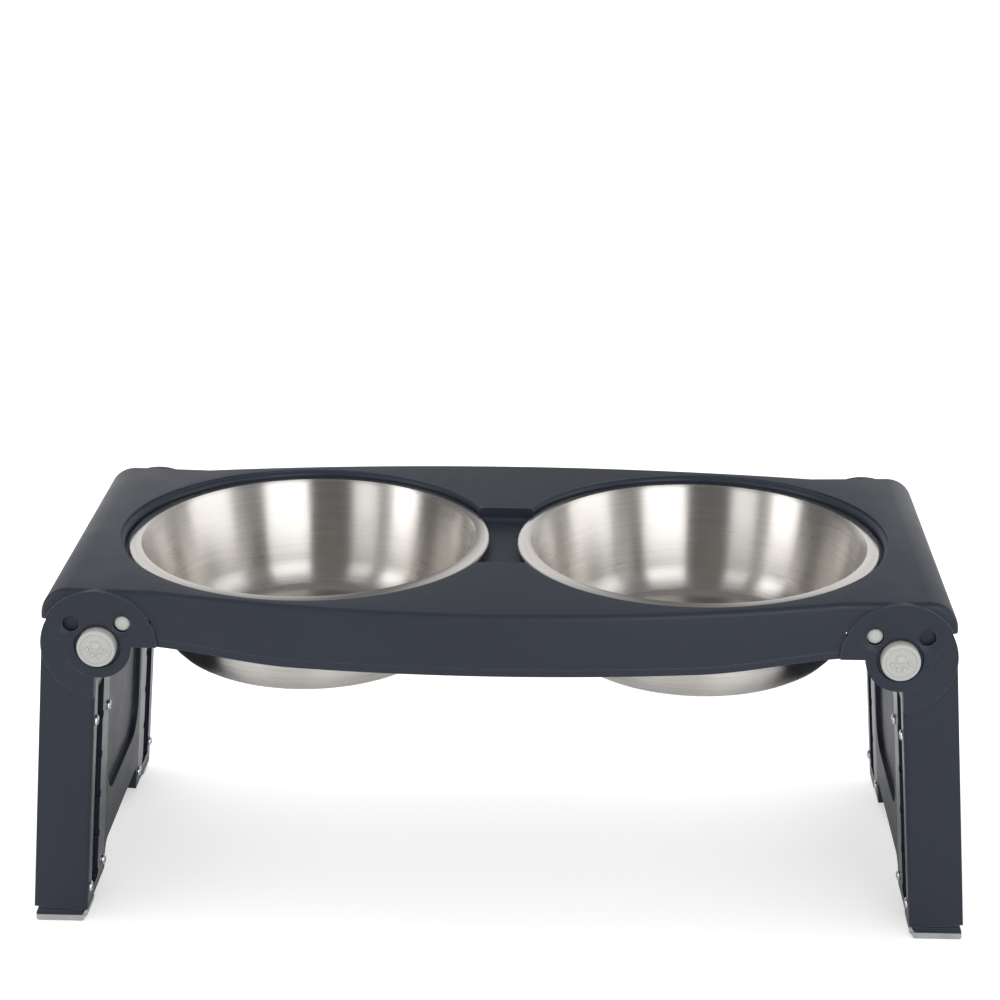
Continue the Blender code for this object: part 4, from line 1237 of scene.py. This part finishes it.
def dressed_button():
    """Button with a rounded ring, a sunk face and a plain paw on it, at +Y."""
    back = TUBE_END - REST_GAP - BUTTON_ARM
    front = EAR_FACE + FACE_STAND
    ring = BUTTON_RADIUS - FACE_RING
    floor = front - FACE_SINK
    profile = [(BUTTON_RADIUS, back + BUTTON_START)]
    round_centre = (BUTTON_RADIUS - FACE_ROUND, front - FACE_ROUND)
    profile += arc(round_centre, FACE_ROUND, 0, math.pi / 2, 4)
    profile.append((ring - FACE_SLOPE, floor))
    profile.append((ring * 0.5, floor))
    button = along_y(lathe(profile, 24))
    for centre, width, height in PAW_PADS:
        join(button, pad_blob(centre, width, height, floor, floor + PAW_RISE))
    centre = pin_centre()
    arm = hull(((0, 0), BUTTON_RADIUS + ARM_MARGIN), (centre, PIN_RADIUS), 10)
    join(button, prism(arm, back, back + BUTTON_ARM, "xz"))
    profile = [(PIN_RADIUS, back + PIN_START)]
    for i in range(6):
        turn = math.radians(15 * i)
        reach = PIN_TIP - PIN_DOME + PIN_DOME * math.sin(turn)
        profile.append((PIN_RADIUS * math.cos(turn), reach))
    pin = along_y(lathe(profile, 14))
    return join(button, moved(pin, x=centre[0], z=centre[1]))


def foot_block(low, high, reach_out, reach_in, lean, soft):
    """Block round the end of a post at +Y, between two heights above the floor."""
    inner = FOOT_INNER - reach_in
    outer = FOOT_OUTER + reach_out
    rounded = []
    for i in range(5):
        turn = math.radians(22.5 * i)
        rounded.append((1 - math.cos(turn), 1 - math.sin(turn)))
    outline = [(inner - lean * high, high)]
    outline += [(inner + soft * a, low + soft * b) for a, b in rounded]
    outline += [(outer - soft * a, low + soft * b) for a, b in reversed(rounded)]
    outline.append((outer, high))
    outline = [(x, floor_at(x, height)) for x, height in outline]
    return prism(outline, FOOT_START, FOOT_FRONT, "xz")


def dressed_foot():
    """Pad with rounded ends, and its wrap up the inner chamfer of the post."""
    reach = (FOOT_REACH_OUT, FOOT_REACH_IN)
    foot = foot_block(0, FOOT_THICKNESS, *reach, FOOT_LEAN, FOOT_ROUND)
    inner = FOOT_INNER - FOOT_REACH_IN
    low = FOOT_THICKNESS - WRAP_SINK
    places = [
        (inner - FOOT_LEAN * FOOT_THICKNESS, low),
        (inner + WRAP_INTO_POST, low),
        (inner - WRAP_TOP_NEAR, FOOT_WRAP_HEIGHT),
        (inner - WRAP_TOP_FAR, FOOT_WRAP_HEIGHT),
    ]
    outline = [(x, floor_at(x, height)) for x, height in places]
    wrap = prism(outline, FOOT_START + OVERLAP, FOOT_FRONT - OVERLAP, "xz")
    return join(foot, wrap)


def foot_collar():
    """Dark collar in two steps between a post and its rubber pad."""
    base = FOOT_THICKNESS + COLLAR_GAP
    middle = (FOOT_THICKNESS + COLLAR_TOP) / 2
    inward = FOOT_REACH_IN - COLLAR_INSET
    reach = (FOOT_REACH_OUT, inward)
    low = foot_block(base, middle + COLLAR_LAP, *reach, 0, COLLAR_ROUND)
    reach = (FOOT_REACH_OUT - COLLAR_STEP, inward)
    high = foot_block(middle, COLLAR_TOP, *reach, 0, COLLAR_TOP_ROUND)
    return join(low, high)


def dressed_screw():
    """Domed screw head with a cross, its axis on X and its back at the origin."""
    head = [(SCREW_HEAD_RADIUS, 0)]
    for i in range(6):
        turn = math.radians(16 * i)
        reach = SCREW_HEAD_RADIUS * math.cos(turn)
        rise = HEAD_EDGE_SHARE + (1 - HEAD_EDGE_SHARE) * math.sin(turn)
        head.append((reach, -SCREW_HEAD_HEIGHT * rise))
    screw = along_x(lathe(head, 12))
    half = CROSS_WIDTH / 2
    arm = SCREW_HEAD_RADIUS * CROSS_REACH_SHARE
    deep = (-SCREW_HEAD_HEIGHT * 2, -SCREW_HEAD_HEIGHT * CROSS_FLOOR_SHARE)
    cut(screw, box(deep, (-arm, arm), (-half, half)))
    return cut(screw, box(deep, (-half, half), (-arm, arm)))


def settled(obj, side):
    """Put a piece of a leg on its splayed hinge, with the place in its mesh."""
    obj.location = (side * PIVOT_X, 0, PIVOT_Z)
    obj.rotation_euler = (0, -side * LEG_SPLAY, 0)
    obj.data.transform(obj.matrix_basis)
    obj.matrix_basis = Matrix.Identity(4)
    return obj


def swap_in(obj, name, body, node, material, angle=SHARP):
    """Put a finer piece in the place of one plain solid."""
    fine(obj, name, material, angle)
    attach(obj, body)
    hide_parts(node)


def make_looks():
    """Material of each kind of node, found by the start of the node's name."""
    slate = plastic("slate_plastic", SLATE, 0.40, 0.00004, 0.0007)
    cover = plastic("slate_plastic_cover", SLATE, 0.24, 0.00002, 0.0005)
    button = plastic("grey_plastic", BUTTON_GREY, 0.42, 0.00003, 0.0003)
    steel_sheet = steel()
    bright = zinc()
    pad = rubber()
    return {
        "tray": slate,
        "leg_frame": slate,
        "rack_cover": cover,
        "leg_post": slate,
        "rubber_foot": pad,
        "release_button": button,
        "button_spring": bright,
        "cover_screw": bright,
        "bowl": steel_sheet,
    }


def dress_corner(nodes, looks, side_name, side, end_name, end):
    """Finer button, foot, collar and screws at one corner, and its spring."""
    corner = side_name + "_" + end_name
    node = "release_button_" + corner
    skin = mirrored(dressed_button(), x=side, y=end)
    look = looks["release_button"]
    swap_in(skin, "button_skin_" + corner, "button_" + corner, node, look, SHARP_SMALL)
    settled(skin, side)

    spring = nodes["button_spring_" + corner]
    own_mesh(spring)

    post = "post_" + corner
    node = "rubber_foot_" + corner
    skin = mirrored(dressed_foot(), x=side, y=end)
    look = looks["rubber_foot"]
    swap_in(skin, "foot_skin_" + corner, post, node, look, SHARP_SMALL)
    settled(skin, side)
    collar = mirrored(foot_collar(), x=side, y=end)
    fine(collar, "foot_collar_" + corner, looks["leg_post"])
    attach(settled(collar, side), post)

    for number, (across, down) in enumerate(SCREW_PLACES, start=1):
        node = f"cover_screw_{corner}_{number}"
        name = f"screw_skin_{corner}_{number}"
        skin = moved(dressed_screw(), x=LEG_INNER - REST_GAP, y=across, z=-down)
        mirrored(skin, x=side, y=end)
        swap_in(skin, name, "leg_" + side_name, node, looks["cover_screw"])
        settled(skin, side)


def build():
    """Dress the solids, swap in the finer pieces, and set the studio."""
    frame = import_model()
    nodes = frame["nodes"]
    looks = make_looks()
    for name, obj in nodes.items():
        kind = next(key for key in looks if name.startswith(key))
        dress(obj, looks[kind])
    swap_in(dressed_tray(), "tray_skin", "tray", "tray", looks["tray"])
    for side_name, side in SIDES:
        node = "bowl_" + side_name
        name = "bowl_skin_" + side_name
        skin = make_bowl()
        swap_in(skin, name, node, node, looks["bowl"], SHARP_BOWL)
        skin.location = (side * BOWL_SPACING / 2, 0, 0)
        node = "leg_frame_" + side_name
        name = "leg_skin_" + side_name
        skin = mirrored(make_leg_frame(), x=side)
        swap_in(skin, name, "leg_" + side_name, node, looks["leg_frame"])
        settled(skin, side)
        for end_name, end in ENDS:
            dress_corner(nodes, looks, side_name, side, end_name, end)
    make_world()
    make_floor()
    add_light("overhead", OVERHEAD_PLACE, OVERHEAD_SIZE, OVERHEAD_POWER)
    add_light("fill", FILL_PLACE, FILL_SIZE, FILL_POWER)
    make_camera()
    scene = bpy.context.scene
    scene.view_settings.view_transform = "Standard"


build()
